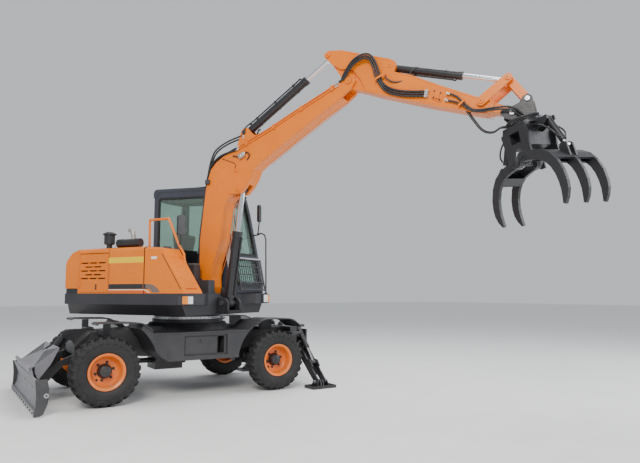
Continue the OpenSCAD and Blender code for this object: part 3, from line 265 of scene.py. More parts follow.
ORANGE = (0.80, 0.185, 0.003)
M = {}
M["orange"] = coat("orange_paint", ORANGE, rough=0.30, dust=0.07, dust_top=2.2, vary=0.06, scratch=0.05, grime=0.10, clear=0.22, spec=0.35,
                   dust_col=(0.55, 0.26, 0.08), chip=(0.50, 0.18, 0.04))
M["orange_rim"] = coat("orange_rim", (0.78, 0.16, 0.004), rough=0.36, dust=0.35, dust_top=0.9, vary=0.10, scratch=0.12, grime=0.30, clear=0.2,
                       dust_col=(0.42, 0.25, 0.14), chip=(0.30, 0.18, 0.12))
M["black"] = coat("black_paint", (0.017, 0.017, 0.020), rough=0.36, dust=0.22, dust_top=1.4, vary=0.25, scratch=0.14, grime=0.3,
                  dust_col=(0.14, 0.13, 0.12), chip=(0.16, 0.16, 0.16))
M["chassis"] = coat("chassis_paint", (0.028, 0.028, 0.032), rough=0.38, dust=0.20, dust_top=1.2, vary=0.18, scratch=0.2, grime=0.4,
                    dust_col=(0.22, 0.20, 0.18), chip=(0.25, 0.25, 0.25))
M["band"] = coat("frame_paint", (0.028, 0.027, 0.033), rough=0.36, dust=0.16, dust_top=1.7, vary=0.15, scratch=0.16, grime=0.3,
                 dust_col=(0.20, 0.19, 0.17), chip=(0.22, 0.22, 0.22))
M["blade"] = coat("blade_paint", (0.19, 0.19, 0.215), rough=0.44, dust=0.40, dust_top=0.9, vary=0.14, scratch=0.5, grime=0.35,
                  dust_col=(0.27, 0.25, 0.23), chip=(0.42, 0.42, 0.43))
M["charcoal"] = coat("charcoal_paint", (0.035, 0.036, 0.041), rough=0.45, dust=0.32, dust_top=0.9, vary=0.18, scratch=0.3, grime=0.3,
                     dust_col=(0.20, 0.19, 0.17), chip=(0.35, 0.35, 0.35))
M["cab"] = coat("cab_paint", (0.040, 0.045, 0.062), rough=0.34, dust=0.14, dust_top=2.0, vary=0.12, scratch=0.06, grime=0.16,
                dust_col=(0.20, 0.19, 0.18), chip=(0.2, 0.2, 0.2))
M["silver"] = coat("silver_paint", (0.50, 0.51, 0.52), rough=0.34, dust=0.12, dust_top=2.0, vary=0.07, scratch=0.12, grime=0.15,
                   dust_col=(0.35, 0.33, 0.30), chip=(0.3, 0.3, 0.3))
M["iron"] = coat("engine_iron", (0.07, 0.07, 0.075), rough=0.6, dust=0.5, dust_top=2.5, vary=0.2, grime=0.5)
M["chrome"] = plain("rod_chrome", (0.78, 0.78, 0.80), rough=0.13, metallic=1.0, vary=0.04, scale=60)
M["steel"] = plain("bright_steel", (0.50, 0.50, 0.51), rough=0.32, metallic=1.0, vary=0.12, scale=120, bump=0.1)
M["zinc"] = plain("zinc_fitting", (0.62, 0.61, 0.58), rough=0.30, metallic=1.0, vary=0.14, scale=90, bump=0.1)
M["bolt"] = coat("dark_bolt", (0.035, 0.035, 0.036), rough=0.42, metallic=0.6, dust=0.25, vary=0.2, grime=0.3, edge=0)
M["rubber"] = coat("tyre_rubber", (0.016, 0.016, 0.017), rough=0.68, dust=0.28, dust_top=0.95, vary=0.2, scratch=0.0, grime=0.2, bump=0.14,
                   edge=0.003, spec=0.35, dust_col=(0.115, 0.107, 0.10))
M["hose"] = plain("hose_rubber", (0.020, 0.020, 0.022), rough=0.42, vary=0.2, scale=160, bump=0.25)
M["seal"] = plain("window_seal", (0.012, 0.012, 0.013), rough=0.6, vary=0.2, scale=120)
M["plastic"] = plain("cab_plastic", (0.045, 0.046, 0.050), rough=0.58, vary=0.15, scale=90, bump=0.3)
M["lightplastic"] = plain("grey_plastic", (0.16, 0.16, 0.17), rough=0.55, vary=0.1, scale=90, bump=0.3)
M["cloth"] = plain("seat_cloth", (0.035, 0.036, 0.042), rough=0.92, vary=0.35, scale=420, bump=0.7)
M["yellow"] = coat("yellow_strip", (0.86, 0.56, 0.004), rough=0.38, dust=0.1, dust_top=2.2, vary=0.05, scratch=0.1, grime=0.12, edge=0,
                   dust_col=(0.5, 0.42, 0.2))
M["red"] = coat("red_stripe", (0.62, 0.035, 0.02), rough=0.36, dust=0.1, dust_top=2.0, vary=0.05, scratch=0.1, grime=0.12, edge=0)
M["white"] = coat("white_stripe", (0.80, 0.80, 0.78), rough=0.36, dust=0.12, dust_top=2.0, vary=0.04, scratch=0.08, grime=0.12, edge=0)
M["decal_black"] = coat("black_band", (0.020, 0.018, 0.020), rough=0.32, dust=0.1, dust_top=2.0, vary=0.12, scratch=0.1, grime=0.15, edge=0)
M["decal_grey"] = coat("grey_swoosh", (0.17, 0.12, 0.10), rough=0.34, dust=0.1, dust_top=2.0, vary=0.10, scratch=0.1, grime=0.12, edge=0)
M["amber"] = plain("amber_lens", (0.85, 0.26, 0.03), rough=0.18, vary=0.08, scale=200)
M["lens"] = plain("lamp_lens", (0.82, 0.83, 0.84), rough=0.12, vary=0.05, scale=300, bump=0.2)
M["mirror"] = plain("mirror_glass", (0.75, 0.78, 0.80), rough=0.05, metallic=1.0, vary=0.02)
# near-black: painted shade in the vent cavity, rear slots, tank groove and hand holes; also the real dark seams and
# monitor screen
M["dark"] = plain("near_black_and_painted_shade", (0.010, 0.010, 0.011), rough=0.8, vary=0.2)
M["exhaust"] = coat("exhaust_steel", (0.40, 0.38, 0.36), rough=0.38, metallic=0.6, dust=0.15, dust_top=2.6, vary=0.12, grime=0.3, edge=0)


def glass(name, tint, rough=0.02):
    m, nt, b = new_mat(name)
    L = nt.links.new
    co = nt.nodes.new("ShaderNodeTexCoord").outputs["Object"]
    n1 = noise(nt, co, 3.0, 5.0, 0.6)
    L(ramp(nt, n1.outputs["Fac"], [(0.4, g(rough)), (0.8, g(rough + 0.07))]).outputs["Color"], b.inputs["Roughness"])
    a = tuple(c * 0.96 for c in tint) + (1.0,)
    L(ramp(nt, n1.outputs["Fac"], [(0.3, a), (0.7, tint + (1.0,))]).outputs["Color"], b.inputs["Base Color"])
    b.inputs["Transmission Weight"].default_value = 0.92
    b.inputs["IOR"].default_value = 1.45
    return m


M["glass_green"] = glass("tinted_glass", (0.55, 0.74, 0.66))
M["glass_blue"] = glass("side_glass", (0.70, 0.84, 0.90))


def assign(names, mat):
    for n in names:
        o = NODES[n]
        o.data.materials.clear()
        o.data.materials.append(M[mat])
        for p in o.data.polygons:
            p.material_index = 0


assign(["chassis_frame"], "chassis")
assign(["steer_axle", "drive_axle", "knuckle_r", "knuckle_l", "tie_rod", "blade_barrel", "stab_leg_r", "stab_leg_l", "stab_pad_r", "stab_pad_l",
        "stab_barrel_r", "stab_barrel_l", "mirrors", "exhaust", "boom_barrel", "arm_barrel", "tool_barrel", "tool_bracket",
        "grapple_frame", "jaw_three", "jaw_two", "grip_barrel_three", "grip_barrel_two"], "black")
assign(["upper_frame"], "band")
assign(["rim_blade_r", "rim_blade_l", "rim_stab_r", "rim_stab_l"], "orange_rim")
assign(["counterweight", "engine_cover", "hood", "vent_door", "tank", "handrails", "boom", "arm", "idler", "tool_link"], "orange")
assign(["tyre_blade_r", "tyre_blade_l", "tyre_stab_r", "tyre_stab_l"], "rubber")
assign(["blade"], "blade")
assign(["blade_rod", "stab_rod_r", "stab_rod_l", "boom_rod", "arm_rod", "tool_rod", "grip_rod_three", "grip_rod_two"], "chrome")
assign(["cab_shell", "cab_door"], "cab")
assign(["cab_glass", "door_glass"], "glass_green")
assign(["seat"], "cloth")
assign(["console"], "plastic")
assign(["front_guard"], "charcoal")
assign(["engine"], "iron")


# ---------------------------------------------------------------- mesh making
class Mesh:
    """Collects the faces of one piece, in row metres."""

    def __init__(self):
        self.v, self.f = [], []

    def add(self, verts, faces):
        n = len(self.v)
        self.v += [tuple(p) for p in verts]
        self.f += [tuple(i + n for i in fc) for fc in faces]
        return self

    def loft(self, rings, closed_ends=True, wrap=True):
        k = len(rings[0])
        verts = [p for r in rings for p in r]
        faces = []
        for a in range(len(rings) - 1):
            for i in range(k if wrap else k - 1):
                j = (i + 1) % k
                faces.append((a * k + i, a * k + j, (a + 1) * k + j, (a + 1) * k + i))
        if closed_ends:
            faces.append(tuple(reversed(range(k))))
            faces.append(tuple(range((len(rings) - 1) * k, len(rings) * k)))
        return self.add(verts, faces)

    def prism(self, T, pts, t0, t1, plane="uz", c=0.0):
        """Plate from an outline; plane names its two directions and the third is its thickness."""
        def at(p, t):
            if plane == "uz":
                return T(p[0], t, p[1])
            if plane == "uv":
                return T(p[0], p[1], t)
            return T(t, p[0], p[1])
        if c <= 0:
            return self.loft([[at(p, t0) for p in pts], [at(p, t1) for p in pts]])
        ins = inset(pts, c)
        s = 1 if t1 > t0 else -1
        return self.loft([[at(p, t0) for p in ins], [at(p, t0 + s * c) for p in pts], [at(p, t1 - s * c) for p in pts], [at(p, t1) for p in ins]])

    def box(self, T, lo, hi, c=2.0):
        (x0, y0, z0), (x1, y1, z1) = lo, hi
        c = min(c, (x1 - x0) * 0.45, (y1 - y0) * 0.45, (z1 - z0) * 0.45)
        pts = [(x0, y0), (x1, y0), (x1, y1), (x0, y1)]
        cham = [(x0 + c, y0), (x1 - c, y0), (x1, y0 + c), (x1, y1 - c), (x1 - c, y1), (x0 + c, y1), (x0, y1 - c), (x0, y0 + c)]
        ins = [(x0 + c, y0 + c), (x1 - c, y0 + c), (x1 - c, y0 + c), (x1 - c, y1 - c), (x1 - c, y1 - c), (x0 + c, y1 - c), (x0 + c, y1 - c), (x0 + c, y0 + c)]
        ins = [(min(max(p[0], x0 + c), x1 - c), min(max(p[1], y0 + c), y1 - c)) for p in cham]
        rings = [[T(p[0], p[1], z0) for p in ins], [T(p[0], p[1], z0 + c) for p in cham], [T(p[0], p[1], z1 - c) for p in cham], [T(p[0], p[1], z1) for p in ins]]
        return self.loft(rings)

    def turn(self, origin, axis, profile, seg=32, ends=True):
        """Profile of (distance along axis, radius), in metres, turned about the axis."""
        axis = Vector(axis).normalized()
        a = axis.orthogonal().normalized()
        b = axis.cross(a)
        rings = []
        for h, r in profile:
            rings.append([Vector(origin) + axis * h + (a * math.cos(2 * math.pi * i / seg) + b * math.sin(2 * math.pi * i / seg)) * r for i in range(seg)])
        return self.loft(rings, closed_ends=ends)

    def rod(self, p, q, r, seg=20, c=0.0):
        p, q = Vector(p), Vector(q)
        h = (q - p).length
        c = min(c, r * 0.5, h * 0.4)
        prof = [(0, r - c), (c, r), (h - c, r), (h, r - c)] if c else [(0, r), (h, r)]
        return self.turn(p, q - p, prof, seg)

    def hexbolt(self, p, n, r, h=None, washer=True):
        n = Vector(n).normalized()
        h = h or r * 0.7
        p = Vector(p)
        if washer:
            self.turn(p, n, [(0, r * 1.35), (r * 0.16, r * 1.35), (r * 0.2, r * 1.28)], 16)
            p = p + n * r * 0.18
        self.turn(p, n, [(0, r), (h * 0.8, r), (h, r * 0.82)], 6)
        return self

    def tube(self, path, r, seg=12, smooth=8, ends=True):
        pts = spline(path, smooth) if smooth > 1 else [Vector(p) for p in path]
        rings = []
        t = (pts[1] - pts[0]).normalized()
        a = t.orthogonal().normalized()
        for i, p in enumerate(pts):
            t2 = (pts[min(i + 1, len(pts) - 1)] - pts[max(i - 1, 0)]).normalized()
            a = (a - t2 * a.dot(t2)).normalized()
            b = t2.cross(a)
            rings.append([p + (a * math.cos(2 * math.pi * k / seg) + b * math.sin(2 * math.pi * k / seg)) * r for k in range(seg)])
        return self.loft(rings, closed_ends=ends)

    def make(self, name, mat, body, smooth=34, bevel=0.0, slot=None):
        me = bpy.data.meshes.new(name)
        me.from_pydata([tuple(v) for v in self.v], [], self.f)
        me.validate(clean_customdata=True)
        bm = bmesh.new()
        bm.from_mesh(me)
        bmesh.ops.remove_doubles(bm, verts=bm.verts, dist=1e-6)
        bmesh.ops.recalc_face_normals(bm, faces=bm.faces)
        if bevel:
            sharp = [e for e in bm.edges if len(e.link_faces) == 2 and e.calc_face_angle(0) > math.radians(30)]
            bmesh.ops.bevel(bm, geom=sharp, offset=bevel, segments=2, affect="EDGES", profile=0.6, clamp_overlap=True)
        bm.to_mesh(me)
        bm.free()
        for p in me.polygons:
            p.use_smooth = True
        me.set_sharp_from_angle(angle=math.radians(smooth))
        me.materials.append(M[mat])
        ob = bpy.data.objects.new(name, me)
        bpy.context.scene.collection.objects.link(ob)
        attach(ob, body)
        return ob


def inset(pts, d):
    n = len(pts)
    area = sum(pts[i][0] * pts[(i + 1) % n][1] - pts[(i + 1) % n][0] * pts[i][1] for i in range(n))
    s = 1 if area > 0 else -1
    out = []
    for i in range(n):
        p0, p1, p2 = Vector(pts[i - 1][:2]), Vector(pts[i][:2]), Vector(pts[(i + 1) % n][:2])
        a, b = (p1 - p0).normalized(), (p2 - p1).normalized()
        na, nb = Vector((-a.y, a.x)) * s, Vector((-b.y, b.x)) * s
        m = na + nb
        if m.length < 1e-6:
            m = na
        m.normalize()
        k = d / max(0.35, m.dot(na))
        q = p1 + m * k
        out.append((q.x, q.y))
    return out


def spline(path, n):
    P = [Vector(p) for p in path]
    P = [P[0] * 2 - P[1]] + P + [P[-1] * 2 - P[-2]]
    out = []
    for i in range(1, len(P) - 2):
        for k in range(n):
            t = k / n
            a, b, c, d = P[i - 1], P[i], P[i + 1], P[i + 2]
            out.append(0.5 * ((2 * b) + (c - a) * t + (2 * a - 5 * b + 4 * c - d) * t * t + (3 * b - 3 * c + d - a) * t ** 3))
    out.append(P[-2])
    return out


def fitting(mesh, p, d, r):
    """Crimped hose end and hex nut at p, pointing along d."""
    d = Vector(d).normalized()
    mesh.turn(Vector(p) - d * r * 3.4, d, [(0, r * 1.08), (r * 0.3, r * 1.25), (r * 0.9, r * 1.18), (r * 1.3, r * 1.25), (r * 2.0, r * 1.18), (r * 2.3, r * 0.8)], 16)
    mesh.turn(Vector(p) - d * r * 1.3, d, [(0, r * 1.35), (r * 1.3, r * 1.35)], 6)
    return mesh


def rounded_rect(x0, z0, x1, z1, r, n=4):
    pts = []
    for cx, cz, a0 in ((x1 - r, z1 - r, 0), (x0 + r, z1 - r, 90), (x0 + r, z0 + r, 180), (x1 - r, z0 + r, 270)):
        for i in range(n + 1):
            a = math.radians(a0 + 90 * i / n)
            pts.append((cx + r * math.cos(a), cz + r * math.sin(a)))
    return pts


# ---------------------------------------------------------------- tyres
def tyre(name, cad, body, x, s):
    def T(a, r, th):
        # a: towards the outside, r: radius, th: turn
        return CH(x + r * math.sin(th), s * (HT + a), AZ + r * math.cos(th))
    m = Mesh()
    prof = [(-88, 205.5), (-97, 232), (-106, 240), (-110, 250), (-118, 285), (-121, 310), (-119.5, 336), (-117, 338), (-116, 350), (-117, 352), (-112, 372), (-100, 392),
            (-80, 402), (-45, 407), (-10, 408), (-6, 405), (6, 405), (10, 408), (45, 407), (80, 402), (100, 392), (112, 372), (117, 352), (116, 350), (117, 338), (119.5, 336),
            (121, 310), (118, 285), (110, 252), (109, 250), (106, 242), (104, 240), (100, 233), (92, 212), (88, 207.4), (70, 205.5)]
    seg = 84
    rings = [[T(a, r, 2 * math.pi * i / seg) for a, r in prof] for i in range(seg)]
    k = len(prof)
    verts = [p for r in rings for p in r]
    faces = [(i * k + j, i * k + j + 1, ((i + 1) % seg) * k + j + 1, ((i + 1) % seg) * k + j) for i in range(seg) for j in range(k - 1)]
    m.add(verts, faces)
    # traction lugs, in two staggered rows that wrap over the shoulder
    n = 26
    line = [(7, 429.5, 403, 0.0), (34, 429.5, 403, 0.25), (62, 427.5, 402, 0.62), (88, 421, 397, 0.86), (103, 409, 388, 0.95), (113.5, 391, 373, 1.0), (119.5, 371, 352, 1.0), (120.6, 352, 345, 1.0)]
    for side in (-1, 1):
        for i in range(n):
            th0 = 2 * math.pi * (i + (0.5 if side > 0 else 0.0)) / n
            rings = []
            for a, rt, rb, q in line:
                th = th0 + 0.105 * q * side * s
                w_top, w_bot = 17.0 + 3.0 * q, 23.0 + 4.0 * q
                if a < 40:
                    w_top, w_bot = 21, 27
                rings.append([T(side * a, rt, th - w_top / 430), T(side * a, rt, th + w_top / 430), T(side * a, rb - 6, th + w_bot / 430), T(side * a, rb - 6, th - w_bot / 430)])
            m.loft(rings)
    ob = m.make(name, "rubber", body, smooth=28)
    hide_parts(cad)


def wheel_trim(name, body, x, s):
    rim_out, dish = 109.5, 158.0
    o = Vector((0, s, 0))
    c = CH(x, s * HT, AZ)

    def at(r, deg, a):
        t = math.radians(deg)
        return CH(x + r * math.sin(t), s * (HT + a), AZ + r * math.cos(t))
    b = Mesh()
    face = rim_out - dish + 12
    for i in range(6):
        p = at(112, 60 * i + 15, face - 2)
        b.turn(p, o, [(0, 0.019), (0.004, 0.019), (0.005, 0.0165)], 20)
        b.turn(p + o * 0.004, o, [(0, 0.0155), (0.017, 0.0155), (0.020, 0.013)], 6)
        b.turn(p + o * 0.02, o, [(0, 0.0085), (0.012, 0.0085), (0.014, 0.006)], 12)
    b.make(name + "_nuts", "bolt", body)
    h = Mesh()
    h.turn(c + o * (rim_out - dish + 10) / 1000, o, [(0, 0.090), (0.008, 0.092), (0.014, 0.086), (0.030, 0.079), (0.058, 0.078), (0.066, 0.072), (0.084, 0.066), (0.088, 0.060), (0.090, 0.030), (0.094, 0.028), (0.098, 0.020)], 40)
    for i in range(10):
        p = at(69, 36 * i, rim_out - dish + 74)
        h.hexbolt(p, o, 0.0065, 0.006, washer=False)
    h.make(name + "_hub", "black", body)
    # hand hole and valve
    k = Mesh()
    p = at(138, 222, face + 6)
    k.turn(p, o, [(0, 0.014), (0.002, 0.014)], 20)
    # the hand hole is a near-black disc of painted shade
    k.make(name + "_hand_hole_painted_shade", "dark", body)
    v = Mesh()
    v.rod(at(196, 160, 20), at(178, 160, 66), 0.0045, 10, 0.001)
    v.rod(at(180, 160, 62), at(176, 160, 74), 0.006, 10, 0.001)
    v.make(name + "_valve", "zinc", body)


for nm, x, s in (("blade_r", 0, -1), ("blade_l", 0, 1), ("stab_r", WB, -1), ("stab_l", WB, 1)):
    tyre("tread_" + nm, "tyre_" + nm, "wheel_" + nm, x, s)
    wheel_trim("wheel_" + nm, "wheel_" + nm, x, s)


# ---------------------------------------------------------------- decals and panels on the upper body
def flat(name, mat, pts, v0=-UPH, t=1.2, body="upper"):
    m = Mesh()
    m.prism(U, pts, v0 - t, v0 + 0.5, "uz")
    return m.make(name, mat, body)


side_v = -UPH
flat("yellow_strip", "yellow", [(-640, 1816), (14, 1816), (14, 1898), (-640, 1898)], t=1.0)
flat("black_band_rear", "decal_black", [(-632, 1452), (14, 1452), (14, 1521), (-632, 1521)], t=1.0)
flat("black_band_front", "decal_black", [(20, 1452), (95, 1452), (120, 1470), (150, 1492), (130, 1515), (20, 1521)], t=0.8)
flat("grey_swoosh", "decal_grey", [(60, 1521), (150, 1517), (214, 1500), (262, 1472), (300, 1434), (318, 1402), (182, 1402), (160, 1430), (128, 1450), (90, 1460), (60, 1464)], t=1.1)
flat("white_line", "white", [(-632, 1438), (20, 1438), (52, 1434), (84, 1424), (108, 1408), (120, 1396), (132, 1396), (118, 1414), (90, 1432), (56, 1443), (20, 1447), (-632, 1447)], t=1.3)
flat("red_line", "red", [(-632, 1404), (20, 1404), (42, 1402), (58, 1397), (76, 1397), (60, 1408), (40, 1413), (20, 1415), (-632, 1415)], t=1.3)
flat("tank_badge", "white", rounded_rect(150, 1858, 250, 1892, 12), t=1.0)

# seams as thin dark inlays
m = Mesh()
for a, b in (((-630, 1402), (-630, 2028)), ((24, 1402), (24, 2020))):
    m.prism(U, [(a[0] - 2.6, a[1]), (a[0] + 2.6, a[1]), (b[0] + 2.6, b[1]), (b[0] - 2.6, b[1])], side_v - 0.7, side_v + 0.5)
m.make("seams", "dark", "upper")
# painted shade: a near-black sheet behind the vents stands in for the shaded cavity
m = Mesh()
m.box(U, (-1205, -938, 1590), (-690, -934, 1850), 0.5)
m.make("vent_back_painted_shade", "dark", "side_door")

# lock of the side door
m = Mesh()
m.prism(U, rounded_rect(-945, 1440, -885, 1528, 6), side_v - 1.5, side_v + 0.5)
m.make("door_lock_plate", "orange", "side_door")
m = Mesh()
m.prism(U, rounded_rect(-892, 1444, -868, 1524, 7), side_v - 4.5, side_v - 1, c=1.2)
m.make("door_lock", "bolt", "side_door")

# rear slots as near-black strips of painted shade, plate and reflectors on the tail
m = Mesh()
for z in (1796, 1750, 1704):
    for a0 in (-31.5, -27.5, -3, 1, 24, 28):
        pts = []
        for k in range(5):
            a = math.radians(180 + a0 + 3.2 * k / 4)
            pts.append((1801.2 * math.cos(a), 1801.2 * math.sin(a)))
        inner = [(p[0] * 0.996, p[1] * 0.996) for p in reversed(pts)]
        m.prism(U, pts + inner, z - 8, z + 8, "uv")
m.make("rear_slots_painted_shade", "dark", "upper")
m = Mesh()
for a0, a1, z0, z1, in ((-30, -26.5, 1490, 1620),):
    for sgn in (1, -1):
        pts = [(1801.0 * math.cos(math.radians(180 + sgn * (a0 + (a1 - a0) * k / 4))), 1801.0 * math.sin(math.radians(180 + sgn * (a0 + (a1 - a0) * k / 4)))) for k in range(5)]
        inner = [(p[0] * 0.998, p[1] * 0.998) for p in reversed(pts)]
        m.prism(U, pts + inner, z0, z1, "uv")
m.make("rear_plates", "white", "upper")
m = Mesh()
for sgn in (1, -1):
    pts = [(1801.6 * math.cos(math.radians(180 + sgn * (-30 + 3.5 * k / 4))), 1801.6 * math.sin(math.radians(180 + sgn * (-30 + 3.5 * k / 4)))) for k in range(5)]
    inner = [(p[0] * 0.998, p[1] * 0.998) for p in reversed(pts)]
    m.prism(U, pts + inner, 1590, 1620, "uv")
m.make("rear_reflectors", "red", "upper")
m = Mesh()
# tail lamps
for sgn in (1, -1):
    a = math.radians(180 + sgn * 22)
    c = U(1800 * math.cos(a), 1800 * math.sin(a), 1440)
    n = D(U, math.cos(a), math.sin(a), 0)
    m.turn(c - n * 0.008, n, [(0, 0.045), (0.018, 0.045), (0.022, 0.040), (0.024, 0.0)], 28)
m.make("tail_lamps", "red", "upper")

# ---------------------------------------------------------------- lights
m = Mesh(); ml = Mesh(); ma = Mesh()
m.box(U, (698, -972, 1240), (772, -832, 1362), 4)
ml.box(U, (769, -938, 1252), (778, -842, 1350), 3)
ma.box(U, (704, -976, 1250), (776, -940, 1352), 3)
m.box(U, (826, 742, 1243), (876, 915, 1378), 4)
ml.box(U, (873, 752, 1255), (882, 868, 1366), 3)
ma.box(U, (830, 872, 1253), (880, 919, 1368), 3)
# black recess behind the near lamp
m.prism(U, rounded_rect(635, 1248, 694, 1356, 8), -UPH - 1.2, -UPH + 1, "uz")
m.make("lamp_housings", "plastic", "upper")
ml.make("lamp_lenses", "lens", "upper")
ma.make("lamp_amber", "amber", "upper")
# groove along the sloped edge of the tank, a near-black strip of painted shade
m = Mesh()
ga, gb, gn = (352, 1938), (690, 1454), (-0.8197, -0.5728)
m.prism(U, [(ga[0] + gn[0] * 10, ga[1] + gn[1] * 10), (gb[0] + gn[0] * 10, gb[1] + gn[1] * 10),
            (gb[0] + gn[0] * 21, gb[1] + gn[1] * 21), (ga[0] + gn[0] * 21, ga[1] + gn[1] * 21)], -UPH - 0.8, -UPH + 1, "uz")
m.make("tank_groove_painted_shade", "dark", "upper")
# bars that join the bracket's cheeks to its base plate
m = Mesh()
for sgn in (-1, 1):
    v0, v1 = sorted((sgn * 108.5, sgn * 135.5))
    m.prism(U, [(4822, 3394), (5052, 3437), (5052, 3452), (4822, 3410)], v0, v1, "uz")
m.make("bracket_bars", "black", "tool_bracket")
# boom work light
m = Mesh()
m.box(U, (398, -160, 3005), (470, -122, 3075), 6)
m.make("boom_lamp", "plastic", "boom")

# ---------------------------------------------------------------- paint split of some CAD nodes
def local_uvz(co):
    d = Vector((co.x * 1000 - OX - SLEW, co.y * 1000 - OY, co.z * 1000))
    c, s = math.cos(SW), math.sin(SW)
    return c * d.x + s * d.y, -s * d.x + c * d.y, d.z


def local_ch(co):
    return co.x * 1000 - OX, co.y * 1000 - OY, co.z * 1000


def split(name, rules, local=local_uvz):
    """rules: list of (material, test on the face centre); the first that holds is used."""
    o = NODES[name]
    mats = o.data.materials
    idx = {}
    for mat, _ in rules:
        if mat not in idx:
            idx[mat] = len(mats)
            mats.append(M[mat])
    for p in o.data.polygons:
        a, b, c = local(p.center)
        for mat, test in rules:
            if test(a, b, c):
                p.material_index = idx[mat]
                break


def near(p, r):
    return lambda u, v, z: math.hypot(u - p[0], z - p[1]) < r


split("blade", [("charcoal", lambda x, y, z: abs(y) > 1158), ("black", lambda x, y, z: 346 < abs(y) < 414 and x > -744),
                ("black", lambda x, y, z: x > -740 and 55 < abs(y) < 75), ("black", lambda x, y, z: x > -620 and z < 492 and abs(y) < 352),
                ("steel", lambda x, y, z: z < 40 and x < -785)], local_ch)
split("chassis_frame", [("steel", lambda x, y, z: z > 1020.5 and math.hypot(x - 1400, y) < 502), ("black", lambda x, y, z: x > 2936),
                        ("black", lambda x, y, z: x < -100 and abs(y) < 470)], local_ch)
split("upper_frame", [("steel", lambda u, v, z: 186 < abs(v) < 215 and near(PIN["boom"], 45)(u, v, z)), ("steel", lambda u, v, z: 180 < abs(v) < 215 and near(PIN["bc0"], 38)(u, v, z)),
                      ("black", lambda u, v, z: z < 1238), ("black", lambda u, v, z: z > 1391 and u < -900), ("charcoal", lambda u, v, z: z > 1391)])
for nm, p, r in (("boom_rod", "bc1", 64), ("arm_rod", "at", 56), ("tool_rod", "lt", 48)):
    split(nm, [("black", near(PIN[p], r))])
split("blade_rod", [("black", lambda x, y, z: math.hypot(x + 640, z - 372) < 40)], local_ch)
for s, nm in ((-1, "stab_rod_r"), (1, "stab_rod_l")):
    split(nm, [("black", lambda x, y, z: math.hypot(abs(y) - 965, z - 352) < 36)], local_ch)
for nm in ("rim_blade_r", "rim_blade_l", "rim_stab_r", "rim_stab_l"):
    x0 = 0 if "blade" in nm else WB
    split(nm, [("black", lambda x, y, z, x0=x0: math.hypot(x - x0, z - AZ) < 77)], local_ch)
split("tool_bracket", [("steel", lambda u, v, z: abs(v) > 137)])
split("exhaust", [("exhaust", lambda u, v, z: u > -420 and z > 2175)])
split("handrails", [("black", lambda u, v, z: v > 0)])
split("engine_cover", [("black", lambda u, v, z: u > 15)])
split("front_guard", [("silver", lambda u, v, z: z > 1915)])


# ---------------------------------------------------------------- pins, caps, grease nipples
def pin_cap(m, mb, p, v, r, sgn, plate=True):
    n = D(U, 0, sgn, 0)
    c = U(p[0], v, p[1])
    m.turn(c - n * 0.001, n, [(0, r / 1000 * 1.0), (0.006, r / 1000), (0.009, r / 1000 - 0.003), (0.0095, r / 2000), (0.0095, 0.0)], 36)
    mb.turn(c + n * 0.0085, n, [(0, 0.0055), (0.005, 0.005), (0.006, 0.003), (0.011, 0.0032), (0.013, 0.002)], 10)
    if plate:
        a = math.radians(35)
        q = (p[0] + math.cos(a) * (r + 20), p[1] + math.sin(a) * (r + 20))
        d = (math.cos(a), math.sin(a))
        t = (-d[1], d[0])
        pts = [(p[0] + d[0] * (r - 12) + t[0] * 18, p[1] + d[1] * (r - 12) + t[1] * 18), (p[0] + d[0] * (r - 12) - t[0] * 18, p[1] + d[1] * (r - 12) - t[1] * 18),
               (q[0] + d[0] * 16 - t[0] * 15, q[1] + d[1] * 16 - t[1] * 15), (q[0] + d[0] * 16 + t[0] * 15, q[1] + d[1] * 16 + t[1] * 15)]
        m.prism(U, pts, v + sgn * 8.5, v + sgn * 15, "uz")
        mb.hexbolt(U(q[0], v + sgn * 14.5, q[1]), n, 0.010)


for body, mat, items in (
        ("upper", "charcoal", [("boom", 191, 44, False), ("bc0", 185, 36, False)]),
        ("boom", "orange", [("bc1", 136, 40, False)]),
        ("arm_barrel", "charcoal", [("ac0", 97, 32, False)]),
        ("arm", "orange", [("at", 126, 36, False), ("ap", 132, 46, False), ("tc0", 110, 40, False)]),
        ("idler", "orange", [("idl", 160, 34, False)]),
        ("tool_link", "orange", [("lt", 160, 34, False)]),
        ("tool_bracket", "steel", [("ll", 148, 30, False), ("tip", 145, 34, False)])):
    m, mb = Mesh(), Mesh()
    for key, v, r, plate in items:
        for sgn in (-1, 1):
            pin_cap(m, mb, PIN[key], sgn * v, r, sgn, plate)
    m.make("pin_caps_" + body, mat, body)
    mb.make("pin_nipples_" + body, "bolt", body)

# doubler plates
m = Mesh()
for key, v, r0, r1, h in (("bc1", 120, 46, 112, 5), ("boom", 120, 52, 84, 0)):
    if h == 0:
        continue
    for sgn in (-1, 1):
        pts = [(806, 2826), (846, 2892), (916, 2960), (1000, 3018), (1088, 3067), (1222, 3150), (1160, 3016), (1095, 2926), (1008, 2844), (905, 2836)]
        m.prism(U, pts, sgn * 119, sgn * (120 + 7), "uz", c=2.0)
m.make("boom_doubler", "orange", "boom")
m = Mesh()
for sgn in (-1, 1):
    v = sgn * 119.2
    # welds along the lower and upper edges of the side plate, and the crease above the cab
    low = [(560, 1500), (552, 1640), (572, 1800), (692, 2168), (748, 2600), (792, 2720), (872, 2812)]
    low2 = [(1380, 3258), (1515, 3338), (1838, 3532), (2306, 3808), (2590, 3972), (2740, 4092)]
    up = [(318, 1640), (320, 1811), (321, 2183), (376, 2626), (414, 2922), (447, 3068), (498, 3208), (582, 3300), (702, 3376), (950, 3468), (1512, 3694), (1838, 3846), (2308, 4051), (2560, 4166)]
    low = [(u - 34 if z < 1700 else u - 4, z) for u, z in low]
    for path in (low, low2, up):
        m.tube([U(u, v, z) for u, z in path], 0.0042, 6, 3)
    m.tube([U(u, v, z) for u, z in ((469, 2847), (560, 2926), (648, 3003), (700, 3034), (738, 3025), (757, 2970), (770, 2898), (781, 2830))], 0.0055, 6, 2)
m.make("boom_welds", "orange", "boom")
m = Mesh()
